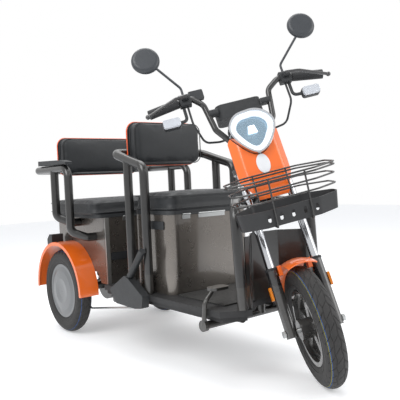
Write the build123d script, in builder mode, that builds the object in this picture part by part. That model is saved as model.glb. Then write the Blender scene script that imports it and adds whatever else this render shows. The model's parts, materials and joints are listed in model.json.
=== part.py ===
from build123d import *
from math import cos, radians, sin, sqrt
import os

os.makedirs("parts", exist_ok=True)

# Driving dimensions, in millimetres and degrees. X runs ahead, Y to the left, Z up.
# The origin lies on the ground at the middle of the length. Places along X are counted from the rear axle.
REAR_AXLE_X = -638.0
WHEELBASE = 1323.5

# Wheels
REAR_TYRE_R = 199.8
REAR_TYRE_HALF = 36.0
REAR_TRACK_HALF = 278.6
FRONT_TYRE_R = 206.2
FRONT_TYRE_HALF = 34.0
RIM_SEAT_R = 118.0
RIM_LIP = 11.0
RIM_HALF = 27.0
RIM_WALL = 4.0
TYRE_FIT = 0.3
AXLE_R = 8.0
FRONT_HUB_R = 34.0
SPOKE_COUNT = 5

# Steering geometry
RAKE = 22.2
STEER_REST = -32.8
FORK_OFFSET = 35.8
LEG_Y = 80.9
AXLE_END_Y = 104.0
SLIDER_R = 20.0
SLIDER_BOTTOM = -18.0
SLIDER_TOP = 212.7
STANCHION_R = 15.0
STANCHION_BOTTOM = 150.0
STANCHION_TOP = 598.0
LOWER_YOKE_Z = 425.0
UPPER_YOKE_Z = 575.0
YOKE_THICK = 20.0
HEAD_R = 25.0
STEM_R = 16.0
RUN_CLEAR = 0.3
PIECE_GAP = 0.3

# Floor
FLOOR_Z = 262.0
FLOOR_HALF = 262.0
FLOOR_REAR_X = 338.0
FLOOR_FRONT_X = 1178.0
FLOOR_THICK = 40.0
FLOOR_STEP = 14.0
MAT_THICK = 5.0
MAT_HALF = 196.0
WHEEL_BAY_R = 185.0
SHIELD_X = 1082.0
SHIELD_THICK = 4.0
SHIELD_TOP = 508.0

# Frame tubes
RAIL_Y = 110.0
RAIL_R = 17.0
GUARD_R = 18.5
GUARD_Y = 190.0
GUARD_FOOT_X = 1158.0
GUARD_TOP_X = 1138.0
GUARD_BEND_Z = 600.0
SEAT_TUBE_R = 18.5

# Boxes
BOX_WALL = 4.0
FRONT_BOX_REAR_X = 541.0
FRONT_BOX_FRONT_X = 784.0
FRONT_BOX_HALF = 208.9
FRONT_BOX_TOP = 575.7
FRONT_BOX_CORNER = 42.0
REAR_BOX_REAR_X = -150.0
REAR_BOX_FRONT_X = 332.4
REAR_BOX_HALF = 238.2
REAR_BOX_TOP = 557.2
REAR_BOX_BOTTOM = 257.3
REAR_BOX_RAISED = 306.0
REAR_BOX_STEP_X = 235.0
WHEEL_WELL_R = 232.0
WHEEL_WELL_DEPTH = 16.0
POST = 16.0

# Rear axle, springs and fenders
MOTOR_R = 78.0
MOTOR_HALF = 72.0
AXLE_TUBE_R = 22.0
AXLE_TUBE_HALF = 232.0
STUB_R = 12.0
STUB_HALF = 302.0
BRAKE_R = 60.0
ROD_R = 4.0
ROD_Y = 232.0
ROD_END_Z = 206.8
SPRING_Y = 165.0
SPRING_WIDTH = 40.0
SPRING_HALF = 215.0
LEAF = 7.0
EYE_R = 13.0
FENDER_R = 238.0
FENDER_THICK = 3.5
FENDER_WIDTH = 93.0

# Seats
PAN_THICK = 16.0
FRONT_CUSHION_TOP = 657.9
FRONT_CUSHION_HALF = 210.0
REAR_CUSHION_TOP = 631.0
REAR_CUSHION_HALF = 300.0
CUSHION_ROUND = 14.0

# Backrests
FRONT_BACK_X = 453.7
FRONT_BACK_HALF = 184.0
FRONT_BACK_Z = (782.0, 969.2)
REAR_BACK_X = -142.2
REAR_BACK_HALF = 232.6
REAR_BACK_Z = (760.6, 950.0)
BACK_BOARD = 14.0
BACK_PAD = 50.0
BACK_ROUND = 42.0
BACK_RIM = 4.0
SEAT_ROUND = 30.0
HINGE_R = 3.5
HINGE_GAP = 0.5
HINGE_LEAF = 3.0
HINGE_DROP = 18.0
PAN_KNUCKLES = ((-110.0, 40.0), (70.0, 40.0))
BOX_KNUCKLES = ((-150.0, 39.5), (-69.5, 139.0), (110.5, 39.5))

# Armrests
FRONT_ARM_Y = 239.5
FRONT_ARM_LEGS_X = (544.3, 664.7)
FRONT_ARM_TOP = 822.5
REAR_ARM_Y = 339.0
REAR_ARM_LEGS_X = (48.0, 192.6)
REAR_ARM_TOP = 786.0
REAR_TUBE_R = 19.0

# Front wheel, fender and handlebar
HUB_HALF = 52.0
SPOKE_THICK = 22.0
SPOKE_WIDTH = 26.0
ARCH_R = 232.0
ARCH_HALF = 50.0
BAR_R = 11.0
GRIP_R = 17.5
BAR_FOOT_X = 15.0
BAR_FOOT_Z = 612.0
PANEL_HALF = (95.0, 68.0)
PANEL_TOP = 704.0
PANEL_LOW = 452.0
PANEL_REAR = 60.0
PANEL_NOSE = 88.0
PANEL_WALL = 3.5

HOUSING = (48.0, 196.0, 898.0)
SIGNAL = (72.0, 268.0, 815.0)
MIRROR = (115.5, 301.0, 1060.3)
MIRROR_R = 52.0
MIRROR_STEM_R = 4.5
LEVER_R = 6.0
CABLE_R = 4.0
LAMP_POINTS = ((0, 73), (43, 66), (72, 43), (85, 9), (72, -32), (43, -71), (0, -95))
LAMP_X = 102.0
LAMP_Z = 711.0
LAMP_DEPTH = 30.0
LAMP_NOSE = 8.0
LAMP_EDGE = 6.0
LAMP_RING = 27.0

# Basket, in a level frame carried by the fork
BASKET_AT = (177.6, 0, 508.4)
BASKET_HALF = 178.0
BASKET_RINGS = ((0, 0, 0), (-9, 0, 2), (-35, 6, 10), (-68, 9, 18))
UPRIGHT_Y = 60.0
BASKET_DEPTH = (-64.0, 130.0)
TRAY_REAR = -30.0
TRAY_WALL = 3.0
TRAY_HALF = 164.0
TRAY_FRONT = 122.0
TRAY_TAPER = 8.0
WIRE_R = 3.0
TRAY_TOP = -95.0
TRAY_BOTTOM = -152.0

ahead = Vector(cos(radians(RAKE)), 0, sin(radians(RAKE)))
steer_dir = Vector(-sin(radians(RAKE)), 0, cos(radians(RAKE)))
turned_ahead = ahead.rotate(Axis((0, 0, 0), steer_dir), STEER_REST)
turned_left = Vector(0, 1, 0).rotate(Axis((0, 0, 0), steer_dir), STEER_REST)
crown_lift = (FRONT_TYRE_R - FRONT_TYRE_HALF) * sqrt(1 - turned_left.Z**2) + FRONT_TYRE_HALF
steer_foot = Vector(REAR_AXLE_X + WHEELBASE, 0, 0) - ahead * FORK_OFFSET
steer_foot += Vector(0, 0, crown_lift - (steer_foot + turned_ahead * FORK_OFFSET).Z)

CHASSIS = Plane(origin=(REAR_AXLE_X, 0, 0))
SIDE = Plane(origin=(REAR_AXLE_X, 0, 0), x_dir=(1, 0, 0), z_dir=(0, -1, 0))
FRONT = Plane(origin=(REAR_AXLE_X, 0, 0), x_dir=(0, 1, 0), z_dir=(1, 0, 0))
STEER = Plane(origin=steer_foot, x_dir=turned_ahead, z_dir=steer_dir)
FRONT_HUB = Plane(origin=STEER.from_local_coords((FORK_OFFSET, 0, 0)), x_dir=turned_ahead, z_dir=steer_dir)
BASKET = Plane(
    origin=STEER.from_local_coords(BASKET_AT),
    x_dir=turned_ahead * cos(radians(RAKE)) - steer_dir * sin(radians(RAKE)),
    z_dir=turned_ahead * sin(radians(RAKE)) + steer_dir * cos(radians(RAKE)),
)


def across(base, x=0.0, y=0.0, z=0.0):
    """The plane through a point of base facing right, with base's X and Z in it."""
    place = base.from_local_coords((x, y, z))
    return Plane(origin=place, x_dir=base.x_dir, z_dir=base.y_dir * -1)


def ahead_of(base, x=0.0, y=0.0, z=0.0):
    """The plane through a point of base facing ahead, with base's Y and Z in it."""
    place = base.from_local_coords((x, y, z))
    return Plane(origin=place, x_dir=base.y_dir, z_dir=base.x_dir)


def level(base, x=0.0, y=0.0, z=0.0):
    """The plane through a point of base that is parallel to base."""
    return Plane(origin=base.from_local_coords((x, y, z)), x_dir=base.x_dir, z_dir=base.z_dir)


def tube(base, points, bends, radius, mode=Mode.ADD):
    """A round bar along straight runs joined by arcs, its points given in base."""
    with BuildLine(base) as route:
        if len(points) > 2:
            FilletPolyline(*points, radius=bends)
        else:
            Line(*points)
    with BuildSketch(Plane(origin=route.line @ 0, z_dir=route.line % 0)) as section:
        Circle(radius)
    sweep(sections=section.sketch, path=route.line, mode=mode)


def both_sides(points):
    """The same run on the other side of the middle plane."""
    return [(x, -y, z) for x, y, z in points]


RAIL_Z = FLOOR_Z - FLOOR_THICK - PIECE_GAP - RAIL_R
KICK_Z = REAR_BOX_RAISED - PIECE_GAP - RAIL_R
HEAD_LOW = LOWER_YOKE_Z + YOKE_THICK + RUN_CLEAR
HEAD_HIGH = UPPER_YOKE_Z - RUN_CLEAR
HEAD = Plane(origin=steer_foot, x_dir=ahead, z_dir=steer_dir)
head_mid = HEAD.from_local_coords((-HEAD_R, 0, (HEAD_LOW + HEAD_HIGH) / 2)) - Vector(REAR_AXLE_X, 0, 0)
DOWN_TUBE_X = 1045.0

# Main frame: rails that rise over the axle, cross tubes, down tube, head tube and the leg guard hoop
with BuildPart() as frame:
    rail = [(-130, RAIL_Y, KICK_Z), (190, RAIL_Y, KICK_Z), (300, RAIL_Y, RAIL_Z), (1070, RAIL_Y, RAIL_Z)]
    tube(CHASSIS, rail, 60, RAIL_R)
    tube(CHASSIS, both_sides(rail), 60, RAIL_R)
    for x, z, half in ((-110, KICK_Z, 200), (170, KICK_Z, 200), (400, RAIL_Z, 250), (1045, RAIL_Z, 262)):
        tube(CHASSIS, [(x, -half, z), (x, half, z)], 0, RAIL_R - 3)
    down = [(DOWN_TUBE_X, 0, RAIL_Z), (DOWN_TUBE_X + 4, 0, GUARD_BEND_Z), (head_mid.X + 8, 0, head_mid.Z)]
    tube(CHASSIS, down, 60, RAIL_R + 3)
    foot_drop = GUARD_R * (GUARD_FOOT_X - GUARD_TOP_X) / (GUARD_BEND_Z - FLOOR_Z)
    hoop = [
        (GUARD_FOOT_X, -GUARD_Y, FLOOR_Z + PIECE_GAP + foot_drop),
        (GUARD_TOP_X, -GUARD_Y, GUARD_BEND_Z),
        (DOWN_TUBE_X - 25, -80, GUARD_BEND_Z + 22),
    ]
    tube(CHASSIS, hoop + both_sides(hoop)[::-1], 50, GUARD_R)
    with BuildSketch(level(HEAD, z=HEAD_LOW)):
        Circle(HEAD_R)
    extrude(amount=HEAD_HIGH - HEAD_LOW)
    with BuildSketch(level(HEAD, z=HEAD_LOW)):
        Circle(STEM_R + RUN_CLEAR)
    extrude(amount=HEAD_HIGH - HEAD_LOW, mode=Mode.SUBTRACT)
frame.part.label = "frame"
export_step(frame.part, "parts/frame.step")

# Floor board: a pressed tray in two tiers with a bay for the front wheel and ribs on the rails
lean = sin(radians(RAKE)) / cos(radians(RAKE))
bay = Vector(STEER.origin.X - REAR_AXLE_X - (FLOOR_Z - STEER.origin.Z) * lean, 0)
with BuildPart() as floor_board:
    lip_low = FLOOR_Z - FLOOR_THICK * 0.55
    for inset, low, high in ((0, lip_low, FLOOR_Z), (FLOOR_STEP, FLOOR_Z - FLOOR_THICK, FLOOR_Z)):
        with BuildSketch(level(CHASSIS, z=low)) as outline:
            half = FLOOR_HALF - inset
            with BuildLine():
                Polyline(
                    (FLOOR_REAR_X, -half),
                    (FLOOR_FRONT_X - 58, -half),
                    (FLOOR_FRONT_X - inset, -half + 96),
                    (FLOOR_FRONT_X - inset, half - 96),
                    (FLOOR_FRONT_X - 58, half),
                    (FLOOR_REAR_X, half),
                    close=True,
                )
            make_face()
            with Locations(bay):
                Circle(WHEEL_BAY_R + inset, mode=Mode.SUBTRACT)
            with Locations((DOWN_TUBE_X, 0)):
                Circle(RAIL_R + 5, mode=Mode.SUBTRACT)
        extrude(amount=high - low)
    with BuildSketch(level(CHASSIS, z=FLOOR_Z - FLOOR_THICK)):
        with BuildLine():
            Polyline(
                (FLOOR_REAR_X - 1, -half + 4),
                (FLOOR_FRONT_X - 64, -half + 4),
                (FLOOR_FRONT_X - 110, -half + 80),
                (FLOOR_FRONT_X - 110, half - 80),
                (FLOOR_FRONT_X - 64, half - 4),
                (FLOOR_REAR_X - 1, half - 4),
                close=True,
            )
        make_face()
        for rib_x in (FLOOR_REAR_X + 60, 560, 780, 1000):
            with Locations((rib_x, 0)):
                Rectangle(14, 4 * half, mode=Mode.SUBTRACT)
    extrude(amount=FLOOR_THICK - 4, mode=Mode.SUBTRACT)
floor_board.part.label = "floor_board"
export_step(floor_board.part, "parts/floor_board.step")

# Floor mat
with BuildPart() as floor_mat:
    with BuildSketch(level(CHASSIS, z=FLOOR_Z)) as mat:
        with Locations(((FRONT_BOX_FRONT_X + FLOOR_FRONT_X) / 2 - 12, 0)):
            RectangleRounded(FLOOR_FRONT_X - FRONT_BOX_FRONT_X - 36, 2 * MAT_HALF, 14)
        with Locations((FLOOR_FRONT_X, 0)):
            Rectangle(2 * (FLOOR_FRONT_X - SHIELD_X) + 24, 2 * MAT_HALF, mode=Mode.SUBTRACT)
        with Locations((DOWN_TUBE_X, 0)):
            Circle(RAIL_R + 13, mode=Mode.SUBTRACT)
    extrude(amount=MAT_THICK)
floor_mat.part.label = "floor_mat"
export_step(floor_mat.part, "parts/floor_mat.step")

# Leg shield: a pressed sheet between the guard legs, bent back round the wheel
with BuildPart() as leg_shield:
    with BuildSketch(level(CHASSIS, z=FLOOR_Z + PIECE_GAP)):
        with BuildLine() as fold:
            edge = GUARD_Y - GUARD_R - PIECE_GAP
            FilletPolyline(
                (GUARD_FOOT_X, -edge),
                (GUARD_FOOT_X, -edge + 22),
                (SHIELD_X, -70),
                (SHIELD_X, 70),
                (GUARD_FOOT_X, edge - 22),
                (GUARD_FOOT_X, edge),
                radius=18,
            )
        trace(line_width=SHIELD_THICK)
    extrude(amount=SHIELD_TOP - FLOOR_Z)
leg_shield.part.label = "leg_shield"
export_step(leg_shield.part, "parts/leg_shield.step")

# Front box: a steel case with round front corners, open under the seat
with BuildPart() as front_box:
    with BuildSketch(level(CHASSIS, z=FLOOR_Z + PIECE_GAP)) as case:
        with Locations(((FRONT_BOX_REAR_X + FRONT_BOX_FRONT_X) / 2, 0)):
            Rectangle(FRONT_BOX_FRONT_X - FRONT_BOX_REAR_X, 2 * FRONT_BOX_HALF)
        fillet(case.vertices().group_by(Axis.X)[-1], FRONT_BOX_CORNER)
        fillet(case.vertices().group_by(Axis.X)[0], 10)
    extrude(amount=FRONT_BOX_TOP - FLOOR_Z - PIECE_GAP)
    offset(amount=-BOX_WALL, openings=front_box.faces().sort_by(Axis.Z)[-1])
front_box.part.label = "front_box"
export_step(front_box.part, "parts/front_box.step")

# Battery pack on the floor of the front box
BATTERY = (150.0, 300.0, 190.0)
with BuildPart() as battery_pack:
    with BuildSketch(level(CHASSIS, z=FLOOR_Z + 2 * PIECE_GAP + BOX_WALL)):
        with Locations(((FRONT_BOX_REAR_X + FRONT_BOX_FRONT_X) / 2, 0)):
            Rectangle(BATTERY[0], BATTERY[1])
    extrude(amount=BATTERY[2])
    fillet(battery_pack.edges().filter_by(Axis.Z), 6)
battery_pack.part.label = "battery_pack"
export_step(battery_pack.part, "parts/battery_pack.step")

# Rear box: a deeper case that steps up over the axle, with a shallow well for each wheel
with BuildPart() as rear_box:
    for inset, mode in ((0, Mode.ADD), (BOX_WALL, Mode.SUBTRACT)):
        with BuildSketch(SIDE):
            with BuildLine():
                Polyline(
                    (REAR_BOX_REAR_X + inset, REAR_BOX_RAISED + inset),
                    (REAR_BOX_STEP_X + inset, REAR_BOX_RAISED + inset),
                    (REAR_BOX_STEP_X + 35 + inset, REAR_BOX_BOTTOM + inset),
                    (REAR_BOX_FRONT_X - inset, REAR_BOX_BOTTOM + inset),
                    (REAR_BOX_FRONT_X - inset, REAR_BOX_TOP + inset),
                    (REAR_BOX_REAR_X + inset, REAR_BOX_TOP + inset),
                    close=True,
                )
            make_face()
        extrude(amount=REAR_BOX_HALF - inset - (WHEEL_WELL_DEPTH if inset else 0), both=True, mode=mode)
    for side in (-1, 1):
        with BuildSketch(SIDE.offset(side * REAR_BOX_HALF)):
            with Locations((0, REAR_TYRE_R)):
                Circle(WHEEL_WELL_R)
        extrude(amount=-side * WHEEL_WELL_DEPTH, mode=Mode.SUBTRACT)
        with BuildSketch(level(CHASSIS, z=REAR_BOX_BOTTOM)):
            with Locations((REAR_BOX_FRONT_X, side * REAR_BOX_HALF)):
                Rectangle(2 * POST, 2 * POST)
        extrude(amount=REAR_BOX_TOP - REAR_BOX_BOTTOM, mode=Mode.SUBTRACT)
rear_box.part.label = "rear_box"
export_step(rear_box.part, "parts/rear_box.step")

# Bright corner posts of the rear box
with BuildPart() as rear_box_posts:
    for side in (-1, 1):
        with BuildSketch(level(CHASSIS, z=REAR_BOX_BOTTOM)) as post:
            with Locations((REAR_BOX_FRONT_X - POST / 2 + 2, side * (REAR_BOX_HALF - POST / 2 + 2))):
                Rectangle(POST + 4 - 2 * PIECE_GAP, POST + 4 - 2 * PIECE_GAP)
            outside = (REAR_AXLE_X + REAR_BOX_FRONT_X + 99, side * 999, REAR_BOX_BOTTOM)
            outer = post.vertices().sort_by_distance(outside)
            fillet(outer[0], POST - 4)
        extrude(amount=REAR_BOX_TOP - REAR_BOX_BOTTOM)
rear_box_posts.part.label = "rear_box_posts"
export_step(rear_box_posts.part, "parts/rear_box_posts.step")

# Lock strips: one on the front face of the rear box, one on each side of the front box
with BuildPart() as lock_strips:
    with BuildSketch(level(FRONT, z=REAR_BOX_FRONT_X + PIECE_GAP)):
        with Locations((0, 382)):
            RectangleRounded(2 * REAR_BOX_HALF - 2 * POST - 8, 34, 4)
    extrude(amount=4)
    for side in (-1, 1):
        with BuildSketch(SIDE.offset(side * (FRONT_BOX_HALF + PIECE_GAP))):
            with Locations((698, 534)):
                RectangleRounded(96, 32, 5)
        extrude(amount=side * 4)
lock_strips.part.label = "lock_strips"
export_step(lock_strips.part, "parts/lock_strips.step")

# Seat frames: a hoop behind each backrest that comes forward as the armrests, with its legs
with BuildPart() as front_seat_frame:
    rear_leg_x, front_leg_x = FRONT_ARM_LEGS_X
    hoop = [
        (front_leg_x, -FRONT_ARM_Y, FLOOR_Z + PIECE_GAP),
        (front_leg_x, -FRONT_ARM_Y, FRONT_ARM_TOP - 52),
        (rear_leg_x, -FRONT_ARM_Y, FRONT_ARM_TOP - SEAT_TUBE_R),
        (FRONT_BACK_X - SEAT_TUBE_R - PIECE_GAP, -FRONT_ARM_Y, FRONT_ARM_TOP + 14),
    ]
    tube(CHASSIS, hoop + both_sides(hoop)[::-1], (40, 60, 40, 40, 60, 40), SEAT_TUBE_R)
    for side in (-1, 1):
        leg_low = (rear_leg_x, side * FRONT_ARM_Y, FLOOR_Z + PIECE_GAP)
        leg_high = (rear_leg_x, side * FRONT_ARM_Y, FRONT_ARM_TOP - SEAT_TUBE_R)
        leg = [leg_low, leg_high]
        tube(CHASSIS, leg, 0, SEAT_TUBE_R)
front_seat_frame.part.label = "front_seat_frame"
export_step(front_seat_frame.part, "parts/front_seat_frame.step")

REAR_HOOP_Z = REAR_ARM_TOP
with BuildPart() as rear_seat_frame:
    rear_leg_x, front_leg_x = REAR_ARM_LEGS_X
    wall = REAR_BOX_HALF + PIECE_GAP
    hoop = [
        (front_leg_x + 38, -wall, 469),
        (front_leg_x + 38, -wall - 42, 469),
        (front_leg_x, -REAR_ARM_Y, 497),
        (front_leg_x, -REAR_ARM_Y, REAR_HOOP_Z),
        (REAR_BACK_X - REAR_TUBE_R - PIECE_GAP, -REAR_ARM_Y, REAR_HOOP_Z),
    ]
    tube(CHASSIS, hoop + both_sides(hoop)[::-1], (26, 34, 45, 45, 45, 45, 34, 26), REAR_TUBE_R)
    for side in (-1, 1):
        leg = [
            (rear_leg_x + 40, side * wall, 532),
            (rear_leg_x + 40, side * (wall + 42), 532),
            (rear_leg_x, side * REAR_ARM_Y, 560),
            (rear_leg_x, side * REAR_ARM_Y, REAR_HOOP_Z),
        ]
        tube(CHASSIS, leg, (26, 34), REAR_TUBE_R)
rear_seat_frame.part.label = "rear_seat_frame"
export_step(rear_seat_frame.part, "parts/rear_seat_frame.step")

# Moulded pads on the rear armrests
with BuildPart() as rear_armrest_pads:
    for side in (-1, 1):
        with BuildSketch(SIDE.offset(side * (REAR_ARM_Y - 18))):
            with BuildLine():
                Polyline(
                    (-92, REAR_ARM_TOP + REAR_TUBE_R + 2 + PIECE_GAP),
                    (206, REAR_ARM_TOP + REAR_TUBE_R + PIECE_GAP),
                    (206, REAR_ARM_TOP + REAR_TUBE_R + 10),
                    (150, REAR_ARM_TOP + REAR_TUBE_R + 20),
                    (-92, REAR_ARM_TOP + REAR_TUBE_R + 26),
                    close=True,
                )
            make_face()
        extrude(amount=side * 36)
rear_armrest_pads.part.label = "rear_armrest_pads"
export_step(rear_armrest_pads.part, "parts/rear_armrest_pads.step")


def slab(base, width, height, round_r, thick, centre):
    """A plate with rounded corners on base, centred at a point of it."""
    with BuildSketch(base) as plate:
        with Locations(centre):
            RectangleRounded(width, height, round_r)
    extrude(plate.sketch, amount=thick)


def knuckles(hinge_x, hinge_z, spans, room=0.0, mode=Mode.ADD):
    """Hinge barrels along Y at one height, each given by its right end and length and grown by room."""
    for right_end, length in spans:
        with BuildSketch(across(CHASSIS, x=hinge_x, y=right_end + length + room, z=hinge_z)) as barrel:
            Circle(HINGE_R + room)
        extrude(barrel.sketch, amount=length + 2 * room, mode=mode)


# Backrests: a hard board on the hoop and a cushion in front of it
with BuildPart() as front_backrest_board:
    middle = (FRONT_BACK_Z[0] + FRONT_BACK_Z[1]) / 2
    tall = FRONT_BACK_Z[1] - FRONT_BACK_Z[0]
    slab(level(FRONT, z=FRONT_BACK_X), 2 * FRONT_BACK_HALF, tall, BACK_ROUND, BACK_BOARD, (0, middle))
front_backrest_board.part.label = "front_backrest_board"
export_step(front_backrest_board.part, "parts/front_backrest_board.step")
with BuildPart() as front_backrest:
    back_front = level(FRONT, z=FRONT_BACK_X + BACK_BOARD + PIECE_GAP)
    wide = 2 * (FRONT_BACK_HALF - BACK_RIM)
    slab(back_front, wide, tall - 2 * BACK_RIM, BACK_ROUND - BACK_RIM, BACK_PAD, (0, middle))
    fillet(front_backrest.faces().sort_by(Axis.X)[-1].edges(), CUSHION_ROUND)
front_backrest.part.label = "front_backrest"
export_step(front_backrest.part, "parts/front_backrest.step")
with BuildPart() as rear_backrest_board:
    middle = (REAR_BACK_Z[0] + REAR_BACK_Z[1]) / 2
    tall = REAR_BACK_Z[1] - REAR_BACK_Z[0]
    slab(level(FRONT, z=REAR_BACK_X), 2 * REAR_BACK_HALF, tall, BACK_ROUND, BACK_BOARD, (0, middle))
rear_backrest_board.part.label = "rear_backrest_board"
export_step(rear_backrest_board.part, "parts/rear_backrest_board.step")
with BuildPart() as rear_backrest:
    back_front = level(FRONT, z=REAR_BACK_X + BACK_BOARD + PIECE_GAP)
    wide = 2 * (REAR_BACK_HALF - BACK_RIM)
    slab(back_front, wide, tall - 2 * BACK_RIM, BACK_ROUND - BACK_RIM, BACK_PAD, (0, middle))
    fillet(rear_backrest.faces().sort_by(Axis.X)[-1].edges(), CUSHION_ROUND)
rear_backrest.part.label = "rear_backrest"
export_step(rear_backrest.part, "parts/rear_backrest.step")

# Seat pans and cushions, which lift together on a hinge at the front edge of each box
with BuildPart() as front_seat_pan:
    pan_front = FRONT_BOX_FRONT_X + 4
    pan_rear = FRONT_BACK_X + BACK_BOARD + BACK_PAD + 8
    pan_mid = ((pan_front + pan_rear) / 2, 0)
    pan_low = level(CHASSIS, z=FRONT_BOX_TOP + PIECE_GAP)
    slab(pan_low, pan_front - pan_rear, 2 * FRONT_BOX_HALF, SEAT_ROUND, PAN_THICK, pan_mid)
    knuckles(pan_front, FRONT_BOX_TOP, BOX_KNUCKLES, HINGE_GAP, Mode.SUBTRACT)
    knuckles(pan_front, FRONT_BOX_TOP, PAN_KNUCKLES)
front_seat_pan.part.label = "front_seat_pan"
export_step(front_seat_pan.part, "parts/front_seat_pan.step")
with BuildPart() as front_cushion:
    low = FRONT_BOX_TOP + 2 * PIECE_GAP + PAN_THICK
    deep = pan_front - pan_rear + 4
    tall = FRONT_CUSHION_TOP - low
    slab(level(CHASSIS, z=low), deep, 2 * FRONT_CUSHION_HALF, SEAT_ROUND + 4, tall, pan_mid)
    fillet(front_cushion.faces().sort_by(Axis.Z)[-1].edges(), CUSHION_ROUND)
front_cushion.part.label = "front_cushion"
export_step(front_cushion.part, "parts/front_cushion.step")
with BuildPart() as rear_seat_pan:
    pan_front = REAR_BOX_FRONT_X + 4
    pan_rear = REAR_BACK_X + BACK_BOARD + BACK_PAD - 40
    pan_mid = ((pan_front + pan_rear) / 2, 0)
    pan_low = level(CHASSIS, z=REAR_BOX_TOP + PIECE_GAP)
    slab(pan_low, pan_front - pan_rear, 2 * REAR_CUSHION_HALF - 32, SEAT_ROUND, PAN_THICK, pan_mid)
    knuckles(pan_front, REAR_BOX_TOP, BOX_KNUCKLES, HINGE_GAP, Mode.SUBTRACT)
    knuckles(pan_front, REAR_BOX_TOP, PAN_KNUCKLES)
rear_seat_pan.part.label = "rear_seat_pan"
export_step(rear_seat_pan.part, "parts/rear_seat_pan.step")
with BuildPart() as rear_cushion:
    low = REAR_BOX_TOP + 2 * PIECE_GAP + PAN_THICK
    deep = pan_front - pan_rear + 4
    tall = REAR_CUSHION_TOP - low
    slab(level(CHASSIS, z=low), deep, 2 * REAR_CUSHION_HALF, SEAT_ROUND + 4, tall, pan_mid)
    fillet(rear_cushion.faces().sort_by(Axis.Z)[-1].edges(), CUSHION_ROUND)
rear_cushion.part.label = "rear_cushion"
export_step(rear_cushion.part, "parts/rear_cushion.step")

# Hinge barrels of both seats on their boxes, between those of the pans
with BuildPart() as seat_hinges:
    for hinge_x, hinge_z in ((FRONT_BOX_FRONT_X + 4, FRONT_BOX_TOP), (REAR_BOX_FRONT_X + 4, REAR_BOX_TOP)):
        knuckles(hinge_x, hinge_z, BOX_KNUCKLES)
        for right_end, length in BOX_KNUCKLES:
            leaf_mid = (right_end + length / 2, hinge_z - HINGE_DROP / 2 - HINGE_GAP)
            with BuildSketch(level(FRONT, z=hinge_x - 4 + PIECE_GAP)):
                with Locations(leaf_mid):
                    Rectangle(length, HINGE_DROP)
            extrude(amount=HINGE_LEAF)
seat_hinges.part.label = "seat_hinges"
export_step(seat_hinges.part, "parts/seat_hinges.step")

# Rear axle: tube with the drive motor in the middle and a stub for each wheel
with BuildPart() as rear_axle:
    axle_mid = Plane(origin=(REAR_AXLE_X, 0, REAR_TYRE_R), x_dir=(1, 0, 0), z_dir=(0, 1, 0))
    for radius, half in ((MOTOR_R, MOTOR_HALF), (AXLE_TUBE_R, AXLE_TUBE_HALF), (STUB_R, STUB_HALF)):
        with BuildSketch(axle_mid):
            Circle(radius)
        extrude(amount=half, both=True)
    for side in (-1, 1):
        with BuildSketch(axle_mid.offset(side * (AXLE_TUBE_HALF - 10))):
            Circle(BRAKE_R)
        extrude(amount=side * 24)
rear_axle.part.label = "rear_axle"
export_step(rear_axle.part, "parts/rear_axle.step")

# Leaf springs between the axle tube and the box floor
with BuildPart() as leaf_springs:
    for side in (-1, 1):
        spring_y = side * SPRING_Y
        base = across(CHASSIS, y=spring_y + SPRING_WIDTH / 2)
        seat_z = REAR_TYRE_R + AXLE_TUBE_R + PIECE_GAP
        eye_z = REAR_BOX_RAISED - PIECE_GAP - EYE_R
        with BuildSketch(base):
            with BuildLine():
                ThreePointArc((-SPRING_HALF, eye_z), (0, seat_z + LEAF / 2), (SPRING_HALF, eye_z))
            trace(line_width=LEAF)
            with Locations((-SPRING_HALF, eye_z), (SPRING_HALF, eye_z)):
                Circle(EYE_R)
            with Locations((0, seat_z + LEAF)):
                Rectangle(60, 2 * LEAF)
        extrude(amount=SPRING_WIDTH)
leaf_springs.part.label = "leaf_springs"
export_step(leaf_springs.part, "parts/leaf_springs.step")

# Rear fenders
with BuildPart() as rear_fenders:
    with BuildSketch(SIDE.offset(REAR_BOX_HALF + PIECE_GAP)):
        with Locations((0, REAR_TYRE_R)):
            Circle(FENDER_R)
            Circle(FENDER_R - FENDER_THICK, mode=Mode.SUBTRACT)
            with Locations((0, -FENDER_R)):
                Rectangle(4 * FENDER_R, 2 * FENDER_R, mode=Mode.SUBTRACT)
    extrude(amount=FENDER_WIDTH)
    with BuildSketch(SIDE.offset(REAR_BOX_HALF + PIECE_GAP + FENDER_WIDTH - FENDER_THICK)):
        with Locations((0, REAR_TYRE_R)):
            Circle(FENDER_R)
            Circle(FENDER_R - 16, mode=Mode.SUBTRACT)
            with Locations((0, -FENDER_R)):
                Rectangle(4 * FENDER_R, 2 * FENDER_R, mode=Mode.SUBTRACT)
    extrude(amount=FENDER_THICK)
    mirror(about=Plane.XZ)
rear_fenders.part.label = "rear_fenders"
export_step(rear_fenders.part, "parts/rear_fenders.step")

# Tail lamps on the fenders
with BuildPart() as tail_lamps:
    with BuildSketch(SIDE.offset(REAR_BOX_HALF + FENDER_WIDTH / 2 - 30)):
        with BuildLine():
            lamp_base = REAR_TYRE_R + sqrt(FENDER_R**2 - 75**2)
            Polyline(
                (-130, lamp_base - 34),
                (-75, lamp_base + 1),
                (-75, lamp_base + 44),
                (-104, lamp_base + 44),
                (-130, lamp_base + 20),
                close=True,
            )
        make_face()
        with Locations((0, REAR_TYRE_R)):
            Circle(FENDER_R + PIECE_GAP, mode=Mode.SUBTRACT)
    extrude(amount=60)
    mirror(about=Plane.XZ)
tail_lamps.part.label = "tail_lamps"
export_step(tail_lamps.part, "parts/tail_lamps.step")

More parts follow.
